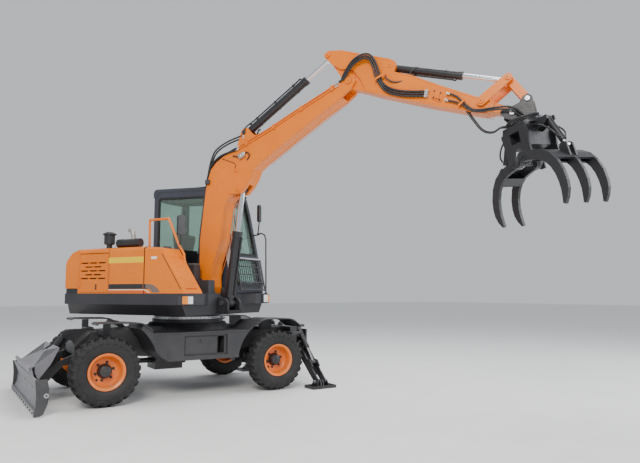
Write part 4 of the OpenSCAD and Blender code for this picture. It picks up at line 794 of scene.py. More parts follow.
for sgn in (-1, 1):
    v = sgn * 109.2
    for path in ([(2596, 4640), (2560, 4540), (2534, 4459), (2560, 4440)], [(2990, 4050), (3172, 3980), (3830, 3746), (4436, 3541), (4560, 3500)],
                 [(2700, 4610), (3002, 4500), (3290, 4396)], [(3380, 4206), (3590, 4128), (3950, 3936), (4430, 3702), (4580, 3632)]):
        m.tube([U(u, v, z) for u, z in path], 0.0040, 6, 3)
m.make("arm_welds", "orange", "arm")

# ---------------------------------------------------------------- pipes and hoses on the boom
TOPLINE = [(262, 1470), (280, 1640), (297, 1811), (298, 2183), (353, 2630), (392, 2929), (426, 3077), (478, 3224), (568, 3321), (694, 3398),
           (942, 3490), (1504, 3716), (1829, 3867), (2299, 4073), (2560, 4190)]


def above(u, h, lo=9):
    for (a, za), (b, zb) in zip(TOPLINE[lo:], TOPLINE[lo + 1:]):
        if a <= u <= b or (b, zb) == TOPLINE[-1]:
            t = (u - a) / (b - a)
            d = Vector((b - a, zb - za)).normalized()
            return (u - d.y * h, za + (zb - za) * t + d.x * h)


m = Mesh(); mc = Mesh(); mf = Mesh(); mb = Mesh()
PIPES = ((-104, 24, 10), (-74, 24, 10), (-134, -22, 9), (60, 24, 10), (92, 24, 10))
for v, h, r in PIPES:
    line = [above(u, h) for u in (960, 1100, 1300, 1504, 1829, 2100, 2299, 2540)]
    m.tube([U(u, v, z) for u, z in line], r / 1000, 12, 3)
    for i, j in ((0, 1), (-1, -2)):
        p, q = U(line[i][0], v, line[i][1]), U(line[j][0], v, line[j][1])
        fitting(mf, p - (q - p).normalized() * 0.03, p - q, 0.013)
for u in (1110, 1560, 2004, 2478):
    for v0, v1 in ((-120, -56), (44, 108)):
        a, b = above(u - 16, 0), above(u + 16, 0)
        a2, b2 = above(u + 16, 38), above(u - 16, 38)
        mc.prism(U, [a, b, a2, b2], v0, v1, "uz", c=1.5)
        mb.hexbolt(U(*(lambda p: (p[0], (v0 + v1) / 2, p[1]))(above(u, 38))), D(U, -0.4, 0, 0.92), 0.009)
    p = above(u, -22)
    a = [above(u - 14, -40), above(u + 14, -40), above(u + 14, -4), above(u - 14, -4)]
    mc.prism(U, a, -147, -119, "uz", c=1.5)
m.make("boom_pipes", "orange", "boom")
mc.make("boom_pipe_clamps", "orange", "boom")
mf.make("boom_pipe_fittings", "zinc", "boom")
mb.make("boom_clamp_bolts", "bolt", "boom")

# hoses from the machine up the back of the boom to those pipes
BACK = [((230, 1560), 0), ((248, 1640), 0), ((262, 1811), 0), ((266, 2183), 0), ((322, 2630), 0), ((362, 2929), 0), ((400, 3110), 0), ((462, 3262), 0), ((566, 3366), 0), ((712, 3430), 0)]
for i, (v_low, v_top, end) in enumerate(((-86, -134, (930, 3466)), (-50, -104, (925, 3512)), (-14, -74, (925, 3512)), (22, 60, (925, 3512)), (58, 92, (925, 3512)))):
    m = Mesh()
    pts = [U(70 - i * 8, -240 + i * 6, 1560), U(120, v_low - 90, 1630 + i * 4), U(206, v_low - 10, 1700)]
    n = len(BACK)
    for k, ((u, z), _) in enumerate(BACK[2:]):
        t = max(0.0, (k - 3) / (n - 6)) if k > 3 else 0.0
        pts.append(U(u - (6 if i % 2 else 0), v_low + (v_top - v_low) * min(1, t), z))
    pts.append(U(end[0], v_top, end[1]))
    m.tube(pts, 0.0125, 12, 6)
    o = m.make("boom_hose_%d" % (i + 1), "hose", "boom")
    o.parent = None
    tuple(U(300, 0, 1560))
    tuple(U(280, 0, 1900))
    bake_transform(o)
m = Mesh()
m.box(U, (130, -335, 1798), (370, -215, 1826), 3)
m.make("valve_cap", "iron", "upper")
# two hoses that leave the back of the boom for the arm cylinder
for i, v in enumerate((-84, -54)):
    m = Mesh()
    m.tube([U(u, v + dv, z) for u, z, dv in ((352, 2840, 0), (366, 2960, 0), (398, 3150, 0), (457 + 6 * i, 3386 - 8 * i, 0), (546 + 8 * i, 3529 - 16 * i, 0), (757, 3631 - 24 * i, 0), (1004, 3690 - 26 * i, 0))], 0.0125, 12, 6)
    m.make("upper_hose_%d" % (i + 1), "hose", "boom")

# valve block with its small hoses on the near side of the boom
m = Mesh(); mh = Mesh(); mf = Mesh()
bx = lambda u, v, z: U(1046 + u * 0.92 - z * 0.39, v, 3376 + u * 0.39 + z * 0.92)
m.box(bx, (-52, -166, -34), (52, -119, 34), 3)
m.box(bx, (-34, -178, -18), (-4, -164, 14), 2)
m.box(bx, (8, -178, -18), (36, -164, 14), 2)
m.make("boom_valve_block", "zinc", "boom")
mh.tube([bx(50, -142, 10), bx(92, -146, 4), bx(116, -140, -40), bx(84, -130, -76), bx(40, -124, -92)], 0.009, 10, 6)
mh.tube([bx(-52, -142, 8), bx(-86, -140, 26), bx(-118, -134, 60), bx(-150, -132, 70)], 0.009, 10, 6)
mh.tube([U(u, -125, z) for u, z in ((689, 3365), (760, 3340), (825, 3313), (880, 3292), (914, 3267), (922, 3235), (915, 3205), (935, 3176))], 0.0045, 8, 5)
mh.make("boom_valve_hoses", "hose", "boom")
fitting(mf, bx(66, -142, 9), bx(66, -142, 9) - bx(40, -142, 11), 0.0095)
fitting(mf, bx(-66, -141, 15), bx(-66, -141, 15) - bx(-40, -142, 8), 0.0095)
mf.make("boom_valve_fittings", "zinc", "boom")
m = Mesh()
m.turn(U(938, -119, 3170), D(U, 0, -1, 0), [(0, 0.030), (0.014, 0.030), (0.018, 0.026), (0.020, 0.010), (0.034, 0.010), (0.036, 0.0)], 24)
m.make("boom_sensor", "orange", "boom")

# arm cylinder: ports, pipe along the barrel, hose from the boom
def along(p, q, t, h=0.0):
    d = Vector((q[0] - p[0], q[1] - p[1])).normalized()
    return (p[0] + d.x * t - d.y * h, p[1] + d.y * t + d.x * h)


m = Mesh(); mf = Mesh(); mb = Mesh()
P, Q = PIN["ac0"], PIN["at"]
a1 = [along(P, Q, 120, 62), along(P, Q, 140, 84), along(P, Q, 220, 78), along(P, Q, 700, 76), along(P, Q, 1060, 76), along(P, Q, 1110, 84), along(P, Q, 1122, 58)]
m.tube([U(u, -18, z) for u, z in a1], 0.011, 12, 5)
for t in (260, 620, 980):
    c = along(P, Q, t)
    d = Vector((Q[0] - P[0], 0, Q[1] - P[1])).normalized()
    m.turn(U(c[0], 0, c[1]) - D(U, d.x, 0, d.z) * 0.012, D(U, d.x, 0, d.z), [(0, 0.0575), (0, 0.061), (0.024, 0.061), (0.024, 0.0575)], 40, ends=False)
    q = along(P, Q, t, 66)
    m.box(lambda x, y, z, q=q: U(q[0] + x, y, q[1] + z), (-14, -34, -8), (14, -2, 22), 2)
m.make("arm_cylinder_pipe", "black", "arm_barrel")
m = Mesh()
c, d = along(P, Q, 1190 - 62), Vector((Q[0] - P[0], 0, Q[1] - P[1])).normalized()
m.turn(U(*(lambda p: (p[0], 0, p[1]))(along(P, Q, 1190 - 3))), D(U, d.x, 0, d.z), [(0, 0.0600), (0.006, 0.0600), (0.009, 0.054), (0.009, 0.0348)], 40, ends=False)
m.make("arm_cylinder_gland", "charcoal", "arm_barrel")
for i, (v, tail) in enumerate(((-40, (1148, 3690)), (34, (1148, 3690)))):
    m = Mesh()
    t0, t1 = along(P, Q, 118, 58), along(P, Q, 150, -54)
    if i == 0:
        pts = [U(1023, -80, 3655), U(1040, -98, 3720), U(1062, -96, 3784), U(1098, -70, 3838), U(1130, -40, 3872), U(t0[0] + 6, -18, t0[1] + 16)]
    else:
        pts = [U(1060, 96, 3620), U(1090, 104, 3680), U(1150, 98, 3740), U(1190, 70, 3780), U(t1[0] + 40, 50, t1[1] + 14)]
    m.tube(pts, 0.0115, 12, 6)
    o = m.make("arm_cylinder_hose_%d" % (i + 1), "hose", "boom")
    o.parent = None
    tuple(pts[0])
    tuple(pts[-1])
    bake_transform(o)
    fitting(mf, pts[0], pts[0] - pts[1], 0.0125)
mf.make("arm_hose_fittings", "zinc", "boom")
m = Mesh()
for v in (-80, 96):
    m.box(U, (1000, v - 16, 3560), (1070, v + 16, 3640), 3)
m.make("arm_hose_bulkheads", "orange", "boom")

# boom cylinder: pipe, clamps and gland
m = Mesh(); mh = Mesh()
P, Q = PIN["bc0"], PIN["bc1"]
d = Vector((Q[0] - P[0], 0, Q[1] - P[1])).normalized()
a1 = [along(P, Q, 130, -66), along(P, Q, 150, -88), along(P, Q, 240, -86), along(P, Q, 600, -84), along(P, Q, 900, -84), along(P, Q, 960, -92), along(P, Q, 978, -66)]
m.tube([U(u, 0, z) for u, z in a1], 0.012, 12, 5)
for t in (300, 560, 820):
    c = along(P, Q, t)
    m.turn(U(c[0], 0, c[1]) - D(U, d.x, 0, d.z) * 0.013, D(U, d.x, 0, d.z), [(0, 0.069), (0, 0.073), (0.026, 0.073), (0.026, 0.069)], 40, ends=False)
    q = along(P, Q, t, -80)
    m.box(lambda x, y, z, q=q: U(q[0] + x, y, q[1] + z), (-16, -18, -14), (16, 18, 14), 2)
m.turn(U(*(lambda p: (p[0], 0, p[1]))(along(P, Q, 1042))), D(U, d.x, 0, d.z), [(0, 0.0735), (0.007, 0.0735), (0.011, 0.066), (0.011, 0.039)], 40, ends=False)
m.make("boom_cylinder_pipe", "black", "boom_barrel")

# tool cylinder
m = Mesh(); mf = Mesh()
P, Q = PIN["tc0"], PIN["lt"]
d = Vector((Q[0] - P[0], 0, Q[1] - P[1])).normalized()
a1 = [along(P, Q, 150, -46), along(P, Q, 160, -68), along(P, Q, 240, -68), along(P, Q, 600, -67), along(P, Q, 830, -67), along(P, Q, 868, -74), along(P, Q, 884, -48)]
m.tube([U(u, -14, z) for u, z in a1], 0.010, 12, 5)
for t in (330, 720):
    c = along(P, Q, t)
    m.turn(U(c[0], 0, c[1]) - D(U, d.x, 0, d.z) * 0.011, D(U, d.x, 0, d.z), [(0, 0.0512), (0, 0.0545), (0.022, 0.0545), (0.022, 0.0512)], 40, ends=False)
m.turn(U(*(lambda p: (p[0], 0, p[1]))(along(P, Q, 937))), D(U, d.x, 0, d.z), [(0, 0.0542), (0.006, 0.0542), (0.009, 0.048), (0.009, 0.0308)], 40, ends=False)
q = along(P, Q, 292, -20)
m.turn(U(q[0], -46, q[1]), D(U, 0, -1, 0), [(0, 0.020), (0.016, 0.020), (0.018, 0.014), (0.026, 0.014), (0.028, 0.0)], 20)
m.make("tool_cylinder_pipe", "black", "tool_barrel")
m = Mesh()
pts = [U(3247, -152, 4174), U(3300, -140, 4120), U(3370, -124, 4088), U(3460, -104, 4092), U(3540, -84, 4144), U(q[0], -76, q[1] - 14)]
m.tube(pts, 0.0095, 12, 6)
o = m.make("tool_cylinder_hose", "hose", "arm")
o.parent = None
tuple(pts[2])
tuple(pts[-1])
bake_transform(o)

# hoses that arch from the boom to the arm
mf = Mesh()
ARCH = [((2588, 4216), 0), ((2650, 4262), -14), ((2711, 4336), -34), ((2790, 4418), -46), ((2880, 4470), -50), ((2970, 4490), -50), ((3052, 4458), -46), ((3112, 4350), -40),
        ((3150, 4215), -34), ((3204, 4078), -28), ((3296, 3990), -26), ((3450, 3926), -24), ((3640, 3888), -22), ((3812, 3864), -20)]
for i, (v0, v1, dz) in enumerate(((-104, -130, 0), (-74, -128, 31), (-134, -134, -32))):
    m = Mesh()
    pts = []
    for k, ((u, z), dv) in enumerate(ARCH):
        off = dz
        # push the line outwards from the pivot, so that the three lie side by side
        cx, cz = 2960, 4150
        r = Vector((u - cx, z - cz))
        r = r.normalized() if k < 9 else Vector((0.15, 1)).normalized()
        s = 0.0 if k == 0 else 1.0
        v = v0 + (v1 - v0) * min(1, k / 4) + dv * (1 if k < 9 else 0) * 0.75 - (4 if k else 0)
        pts.append(U(u + r.x * off * s, v if k else v0, z + r.y * off * s))
    m.tube(pts, 0.0125, 12, 6)
    o = m.make("arch_hose_%d" % (i + 1), "hose", "boom")
    o.parent = None
    tuple(U(2620, 0, 4230))
    tuple(U(3120, 0, 4330))
    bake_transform(o)
    fitting(mf, pts[-1], pts[-1] - pts[-2], 0.014)
mf.make("arch_fittings", "zinc", "arm")
# bracket that holds the three hoses, manifold plate, second bracket
m = Mesh(); mb = Mesh(); mf = Mesh(); mz = Mesh()
for (a, b, v0, v1) in (((3118, 4146), (3258, 4206), -182, -166), ((4186, 3648), (4256, 3706), -166, -152)):
    d = Vector((b[0] - a[0], b[1] - a[1])).normalized()
    t = (-d.y * 13, d.x * 13)
    pts = [(a[0] + t[0], a[1] + t[1]), (b[0] + t[0], b[1] + t[1]), (b[0] - t[0], b[1] - t[1]), (a[0] - t[0], a[1] - t[1])]
    m.prism(U, pts, v0, v0 + 7, "uz", c=1.2)
    for e, sg in ((a, 1), (b, -1)):
        q = (e[0] + d.x * 7 * sg, e[1] + d.y * 7 * sg)
        pts = [(q[0] - d.x * 6 + t[0], q[1] - d.y * 6 + t[1]), (q[0] + d.x * 6 + t[0], q[1] + d.y * 6 + t[1]), (q[0] + d.x * 6 - t[0], q[1] + d.y * 6 - t[1]), (q[0] - d.x * 6 - t[0], q[1] - d.y * 6 - t[1])]
        m.prism(U, pts, v0 + 2, -109, "uz", c=1.2)
m.prism(U, [(3868, 3914), (3992, 3860), (3968, 3742), (3930, 3744), (3846, 3800)], -124, -109, "uz", c=2)
m.prism(U, [(3902, 3884), (3962, 3858), (3944, 3772), (3894, 3796)], -150, -123, "uz", c=3)
m.make("arm_hose_brackets", "orange", "arm")
for u, z in ((3888, 3888), (3962, 3852), (3950, 3764), (3872, 3806)):
    mb.hexbolt(U(u, -124, z), D(U, 0, -1, 0), 0.009)
mb.make("arm_bracket_bolts", "bolt", "arm")
HT1 = [((4040, 3826), -136), ((4100, 3808), -136), ((4162, 3772), -136), ((4222, 3708), -140), ((4290, 3634), -142), ((4358, 3580), -140), ((4450, 3560), -150), ((4552, 3556), -172), ((4660, 3552), -186),
       ((4741, 3548), -186), ((4830, 3522), -176), ((4903, 3456), -150), ((4932, 3412), -120)]
HT2 = [((4018, 3752), -136), ((4070, 3732), -136), ((4161, 3697), -138), ((4240, 3646), -140), ((4338, 3570), -142), ((4450, 3540), -152), ((4551, 3534), -174), ((4660, 3524), -190),
       ((4740, 3516), -192), ((4820, 3492), -182), ((4882, 3430), -156), ((4908, 3397), -130)]
for i, H in enumerate((HT1, HT2)):
    m = Mesh()
    pts = [U(p[0], v, p[1]) for p, v in H]
    m.tube(pts, 0.0115, 12, 6)
    o = m.make("tool_hose_%d" % (i + 1), "hose", "arm")
    o.parent = None
    tuple(U(4600, 0, 3553))
    tuple(U(4840, 0, 3500))
    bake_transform(o)
    fitting(mf, pts[0], pts[0] - pts[1], 0.013)
mf.make("tool_hose_fittings", "zinc", "arm")
# two hoses that hang under the arm and run round the rotator
for i, (v0, off) in enumerate(((-92, 0), (-56, 16))):
    m = Mesh()
    pts = [U(4262 + off, v0, 3600), U(4300 + off, v0, 3532), U(4352 + off, v0 - 4, 3450), U(4425 + off * 0.6, v0 - 12, 3346 + off * 0.5), U(4500, v0 - 24, 3288 + off), U(4585, v0 - 44, 3272 + off), U(4668, v0 - 70, 3306 + off)]
    c = (4929, 3392)
    for a in (212, 232, 252, 272, 292, 312):
        r = 236 + 14 * i
        x, y = r * math.cos(math.radians(a)), r * math.sin(math.radians(a))
        hgt = -18 - (a < 220) * 22 + 14 * i
        ca, sa = math.cos(-LEAN), math.sin(-LEAN)
        pts.append(U(c[0] + ca * x + sa * hgt, y, c[1] - sa * x + ca * hgt))
    m.tube(pts, 0.0115, 12, 6)
    o = m.make("loop_hose_%d" % (i + 1), "hose", "arm")
    o.parent = None
    tuple(U(4480, 0, 3420))
    tuple(U(4720, 0, 3400))
    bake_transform(o)

# rotator bolts, above and below, and the grapple's hoses
mb = Mesh(); mb2 = Mesh()


def GR(x, y, z):
    ca, sa = math.cos(-LEAN), math.sin(-LEAN)
    return U(ROT[0] + ca * x + sa * z, y, ROT[1] - sa * x + ca * z)


for i in range(20):
    a = 2 * math.pi * i / 20
    mb.hexbolt(GR(184 * math.cos(a), 184 * math.sin(a), 0), D(GR, 0, 0, 1), 0.010)
    mb2.hexbolt(G(184 * math.cos(a), 184 * math.sin(a), -72), D(G, 0, 0, -1), 0.010)
mb.make("rotator_bolts", "bolt", "tool_bracket")
mb2.make("grapple_bolts", "bolt", "grapple")
m = Mesh()
m.turn(GR(0, 0, -38), D(GR, 0, 0, 1), [(0, 0.2052), (0.003, 0.2075), (0.009, 0.2075), (0.012, 0.2052)], 72, ends=False)
m.make("rotator_lip", "charcoal", "tool_bracket")
for s, nm, axis in ((1, "two", 1), (-1, "three", -1)):
    for i, x in enumerate((-96, 96)):
        m = Mesh()
        top = [(x * 0.7, s * 150, -120), (x * 1.1, s * 210, -128), (x * 1.25, s * 290, -170), (x * 1.15, s * 360, -232), (x * 0.95, s * 404, -300), (x * 0.55, s * 420, -352)]
        pts = [G(*p) for p in top]
        m.tube(pts, 0.0105, 12, 6)
        o = m.make("grip_hose_%s_%d" % (nm, i + 1), "hose", "grapple")
        o.parent = None
        tuple(pts[0])
        tuple(pts[-1])
        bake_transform(o)

# ---------------------------------------------------------------- cab
def frame_ring(m, pts_out, w, v0, v1):
    """Flat ring along an outline, w wide inwards."""
    inn = inset(pts_out, w)
    n = len(pts_out)
    o0, o1 = [U(p[0], v0, p[1]) for p in pts_out], [U(p[0], v1, p[1]) for p in pts_out]
    i0, i1 = [U(p[0], v0, p[1]) for p in inn], [U(p[0], v1, p[1]) for p in inn]
    verts = o0 + o1 + i0 + i1
    faces = []
    for i in range(n):
        j = (i + 1) % n
        faces += [(i, j, n + j, n + i), (n + i, n + j, 3 * n + j, 3 * n + i), (3 * n + i, 3 * n + j, 2 * n + j, 2 * n + i), (2 * n + i, 2 * n + j, j, i)]
    m.add(verts, faces)


def soft(c, n=4):
    """Rounds the corners of an outline given as (u, z, radius)."""
    out = []
    k = len(c)
    for i in range(k):
        a, b, d = Vector(c[i - 1][:2]), Vector(c[i][:2]), Vector(c[(i + 1) % k][:2])
        r = c[i][2]
        p, q = (a - b), (d - b)
        ang = p.angle(q) / 2
        t = min(r / math.tan(ang), p.length * 0.45, q.length * 0.45)
        r = t * math.tan(ang)
        pn, qn = p.normalized(), q.normalized()
        o = b + (pn + qn).normalized() * (r / math.sin(ang))
        s, e = b + pn * t, b + qn * t
        a0 = math.atan2(s.y - o.y, s.x - o.x)
        a1 = math.atan2(e.y - o.y, e.x - o.x)
        while a1 - a0 > math.pi:
            a1 -= 2 * math.pi
        while a1 - a0 < -math.pi:
            a1 += 2 * math.pi
        out += [(o.x + r * math.cos(a0 + (a1 - a0) * j / n), o.y + r * math.sin(a0 + (a1 - a0) * j / n)) for j in range(n + 1)]
    return out


RIGHT = soft([(-800, 1985, 40), (-800, 2925, 40), (90, 2895, 40), (330, 2840, 50), (505, 1985, 40)])
REAR_L = soft([(-810, 1985, 40), (-810, 2925, 40), (-410, 2910, 40), (-410, 1985, 40)])
DOOR_UP = soft([(-262, 2010, 40), (-262, 2850, 40), (80, 2838, 40), (322, 2790, 60), (500, 2010, 40)])
DOOR_LO = soft([(-262, 1540, 40), (-262, 1940, 40), (512, 1940, 40), (590, 1600, 40), (560, 1540, 30)])
m = Mesh()
frame_ring(m, inset(RIGHT, -14), 34, CAB0 - 3, CAB0 + 13)
frame_ring(m, inset(REAR_L, -14), 34, CAB1 - 13, CAB1 + 3)
# windscreen and lower front seals, as strips that follow the front
for z0, z1, side in ((1985, 2880, 60), (1510, 1930, 60)):
    va, vb = CAB0 + side, CAB1 - side
    n = 8
    for v, dv in ((va, 26), (vb, -26)):
        for k in range(n):
            za, zb = z0 + (z1 - z0) * k / n, z0 + (z1 - z0) * (k + 1) / n
            m.add([U(cab_front(za) + 2, v - dv * 0.4, za), U(cab_front(zb) + 2, v - dv * 0.4, zb), U(cab_front(zb) + 2, v + dv, zb), U(cab_front(za) + 2, v + dv, za),
                   U(cab_front(za) - 24, v - dv * 0.0, za), U(cab_front(zb) - 24, v - dv * 0.0, zb), U(cab_front(zb) - 24, v + dv, zb), U(cab_front(za) - 24, v + dv, za)],
                  [(0, 1, 2, 3), (3, 2, 6, 7), (0, 4, 5, 1)])
    for z, dz in ((z0, 26), (z1, -26)):
        za, zb = z - dz * 0.4, z + dz
        m.add([U(cab_front(za) + 2, va, za), U(cab_front(za) + 2, vb, za), U(cab_front(zb) + 2, vb, zb), U(cab_front(zb) + 2, va, zb),
               U(cab_front(zb) - 24, va, zb), U(cab_front(zb) - 24, vb, zb)], [(0, 1, 2, 3), (3, 2, 5, 4)])
m.make("window_seals", "seal", "upper")
m = Mesh()
frame_ring(m, inset(DOOR_UP, -12), 28, CAB1 - 16, CAB1 + 3)
frame_ring(m, inset(DOOR_LO, -12), 28, CAB1 - 16, CAB1 + 3)
m.make("door_seals", "seal", "cab_door")
m = Mesh()
m.prism(U, rounded_rect(508, 1948, 596, 1990, 8), CAB1 - 1, CAB1 + 3, "uz")
m.tube([U(514, CAB1 + 2, 1968), U(520, CAB1 + 26, 1968), U(552, CAB1 + 30, 1968), U(584, CAB1 + 26, 1968), U(590, CAB1 + 2, 1968)], 0.008, 10, 5)
m.make("door_handle", "plastic", "cab_door")
m = Mesh()
for z in (1640, 2200, 2760):
    m.box(U, (-312, CAB1 - 2, z - 34), (-268, CAB1 + 9, z + 34), 2)
m.make("door_hinges", "black", "cab_door")
# silver front pillar on the right side
m = Mesh()
fr = [(735 - 2, 1520)] + [(cab_front(z) - 2, z) for z in (1700, 1850, 2000, 2150, 2350, 2550, 2700)] + [(455, 2760), (418, 2870), (392, 2950)]
bk = [(352, 2940), (356, 2856), (372, 2790), (420, 2570), (470, 2330), (530, 2040), (534, 1975), (560, 1900), (610, 1700), (655, 1530)]
m.prism(U, fr + bk, CAB0 - 3.5, CAB0 + 1, "uz", c=1.0)
m.make("pillar_trim", "silver", "upper")
# wiper
m = Mesh()
zb = 2030
m.tube([U(cab_front(zb) + 14, 330, zb), U(cab_front(2250) + 22, 390, 2250), U(cab_front(2500) + 20, 440, 2500)], 0.006, 8, 5)
m.box(lambda x, y, z: U(cab_front(2300 + z) + 8 + x, 420 + y + z * 0.16, 2300 + z), (-3, -6, -230), (5, 6, 320), 1)
m.turn(U(cab_front(zb) - 2, 330, zb), D(U, 1, 0, 0.2), [(0, 0.022), (0.018, 0.022), (0.022, 0.014)], 18)
m.make("wiper", "plastic", "upper")
# roof: hatch plates, lamps under the front edge
m = Mesh()
m.box(U, (-640, 330, 3080), (120, 820, 3088), 3)
m.box(U, (-560, 400, 3084), (40, 750, 3096), 5)
m.make("roof_hatch", "cab", "upper")
m = Mesh(); ml = Mesh()
for v in (300, 845):
    m.box(U, (398, v - 46, 2952), (452, v + 46, 3030), 6)
    ml.box(U, (448, v - 38, 2962), (458, v + 38, 3022), 3)
m.make("roof_lamps", "plastic", "upper")
ml.make("roof_lamp_lenses", "lens", "upper")
# lining: floor mat, rear shelf, headlining
m = Mesh()
m.box(U, (-800, 262, 1465), (600, 884, 1472), 2)
m.make("floor_mat", "seal", "upper")
m = Mesh()
m.box(U, (-826, 252, 1472), (-560, 894, 1880), 12)
m.make("rear_shelf", "plastic", "upper")
m = Mesh()
m.box(U, (-780, 260, 2938), (120, 884, 2952), 5)
m.box(U, (-700, 262, 2880), (-420, 340, 2940), 8)
m.make("headlining", "lightplastic", "upper")
# monitor and controls
m = Mesh(); ms = Mesh()
m.box(lambda x, y, z: U(470 + x - z * 0.2, 258 + y, 1960 + z), (-18, 0, 0), (18, 150, 190), 6)
m.rod(U(470, 330, 1700), U(470, 330, 1965), 0.012, 12)
m.make("monitor", "plastic", "upper")
ms.box(lambda x, y, z: U(449 + x - z * 0.2, 270 + y, 1975 + z), (0, 0, 0), (4, 126, 150), 1)
ms.make("monitor_screen", "dark", "upper")
m = Mesh()
for v in (292, 858):
    for i in range(3):
        m.turn(U(-46, v, 1902 + i * 42), D(U, 0, 0, 1), [(0, 0.034 - i * 0.006), (0.018, 0.026 - i * 0.005), (0.042, 0.029 - i * 0.006)], 20)
m.make("lever_boots", "seal", "upper")

# ---------------------------------------------------------------- seat
def cushion(name, center, size, tilt, puff, seams=(), cap=26):
    """Crowned cushion: a rounded form, inflated by cloth pressure, then subdivided."""
    su, sv, sz = size
    bm = bmesh.new()
    nu, nv = 18, 16
    top, bot = {}, {}
    for i in range(nu + 1):
        for j in range(nv + 1):
            x, y = -1 + 2 * i / nu, -1 + 2 * j / nv
            k = 0.10
            px = x * su / 2 * (1 - k * 0.35 * y * y * y * y)
            py = y * sv / 2 * (1 - k * 0.35 * x * x * x * x)
            e = (1 - abs(x) ** 4) * (1 - abs(y) ** 4)
            h = sz / 2 * (0.30 + 0.70 * e ** 0.45)
            top[i, j] = bm.verts.new((px, py, h))
            bot[i, j] = bm.verts.new((px, py, -h * 0.8))
    for i in range(nu):
        for j in range(nv):
            bm.faces.new((top[i, j], top[i + 1, j], top[i + 1, j + 1], top[i, j + 1]))
            bm.faces.new((bot[i, j], bot[i, j + 1], bot[i + 1, j + 1], bot[i + 1, j]))
    ring = [(i, 0) for i in range(nu)] + [(nu, j) for j in range(nv)] + [(i, nv) for i in range(nu, 0, -1)] + [(0, j) for j in range(nv, 0, -1)]
    for a, b in zip(ring, ring[1:] + ring[:1]):
        bm.faces.new((bot[a], bot[b], top[b], top[a]))
    bmesh.ops.recalc_face_normals(bm, faces=bm.faces)
    me = bpy.data.meshes.new(name)
    bm.to_mesh(me)
    bm.free()
    o = bpy.data.objects.new(name, me)
    bpy.context.scene.collection.objects.link(o)
    c, s = math.cos(tilt), math.sin(tilt)

    def place(p):
        x, z = c * p[0] - s * p[2], s * p[0] + c * p[2]
        return U(center[0] + x, center[1] + p[1], center[2] + z)
    for v in me.vertices:
        v.co = Vector(v.co) / 1000
    rm = o.modifiers.new("remesh", "REMESH")
    rm.mode = "VOXEL"
    rm.voxel_size = 0.0085
    dg = bpy.context.evaluated_depsgraph_get()
    me2 = bpy.data.meshes.new_from_object(o.evaluated_get(dg))
    o.modifiers.clear()
    o.data = me2
    start = [v.co.copy() for v in me2.vertices]
    cl = o.modifiers.new("cloth", "CLOTH")
    st = cl.settings
    st.quality = 5
    st.mass = 0.25
    st.use_pressure = True
    st.uniform_pressure_force = puff
    st.effector_weights.gravity = 0
    st.tension_stiffness = st.compression_stiffness = 18
    sc = bpy.context.scene
    for f in range(1, 21):
        sc.frame_set(f)
    dg = bpy.context.evaluated_depsgraph_get()
    me3 = bpy.data.meshes.new_from_object(o.evaluated_get(dg))
    o.modifiers.clear()
    o.data = me3
    sc.frame_set(1)
    for v, s0 in zip(me3.vertices, start):
        d = v.co - s0
        if d.length > cap / 1000:
            d = d.normalized() * cap / 1000
        p = s0 + d
        p = Vector((p.x * 1000, p.y * 1000, p.z * 1000))
        # sewn channels, pressed in after the pressure
        for axis, at, w, depth in seams:
            q = p.x if axis == "x" else p.y
            g_ = math.exp(-((q - at) / w) ** 2)
            if p.z > 0:
                p.z -= depth * g_
        v.co = place(p)
    sub = o.modifiers.new("sub", "SUBSURF")
    sub.levels = sub.render_levels = 1
    for p in o.data.polygons:
        p.use_smooth = True
    o.data.materials.clear()
    o.data.materials.append(M["cloth"])
    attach(o, "upper")
    return o


seat = cushion("seat_cushion", (-245, 575, 1826), (470, 420, 84), math.radians(3), 4.0,
               seams=(("y", -120, 7, 9), ("y", 120, 7, 9), ("x", -60, 7, 6), ("x", 60, 7, 6), ("x", 170, 7, 6)))
back = cushion("seat_back", (-535, 575, 2120), (520, 400, 88), math.radians(-98) + math.pi, 4.0,
               seams=(("y", -115, 7, 9), ("y", 115, 7, 9), ("x", -120, 7, 6), ("x", 0, 7, 6), ("x", 120, 7, 6)))
head = cushion("head_rest", (-586, 575, 2432), (120, 240, 70), math.radians(-98) + math.pi, 3.0, cap=14)
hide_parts("seat")
m = Mesh()
m.box(U, (-500, 380, 1764), (-10, 770, 1786), 8)
m.box(lambda x, y, z: U(-600 + x - z * 0.13, y, 1830 + z), (-14, 400, 0), (8, 750, 560), 8)
for v in (530, 620):
    m.rod(U(-580, v, 2330), U(-592, v, 2420), 0.007, 10)
m.make("seat_shell", "plastic", "upper")

# ---------------------------------------------------------------- blade, chassis and stabiliser trim
m = Mesh()
for i in range(12):
    y = -1080 + i * 2160 / 11
    m.hexbolt(CH(-817, y, 45), Vector((-1, 0, 0)), 0.011)
m.make("edge_bolts", "bolt", "blade")
m = Mesh()
for s in (-1, 1):
    for x, z in ((-694, 235),):
        c = CH(x, s * 1180, z)
        m.turn(c, Vector((0, s, 0)), [(-0.004, 0.0145), (0.003, 0.0145), (0.003, 0.026), (-0.002, 0.026)], 28, ends=False)
    c = CH(-225, s * 455, 560)
    m.turn(c - Vector((0, s * 0.004, 0)), Vector((0, s, 0)), [(0, 0.034), (0.009, 0.034), (0.012, 0.030), (0.012, 0)], 28)
m.make("blade_tie_rings", "steel", "blade")
m = Mesh()
for s, off in ((-1, 0), (1, 0)):
    pts = [CH(-330, s * 30, 800), CH(-380, s * 40, 790), CH(-440, s * 46, 700), CH(-470, s * 46, 640), CH(-452, s * 40, 600)]
    m.tube(pts, 0.009, 10, 6)
o = m.make("blade_hoses", "hose", "chassis")
o.parent = None
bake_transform(o)
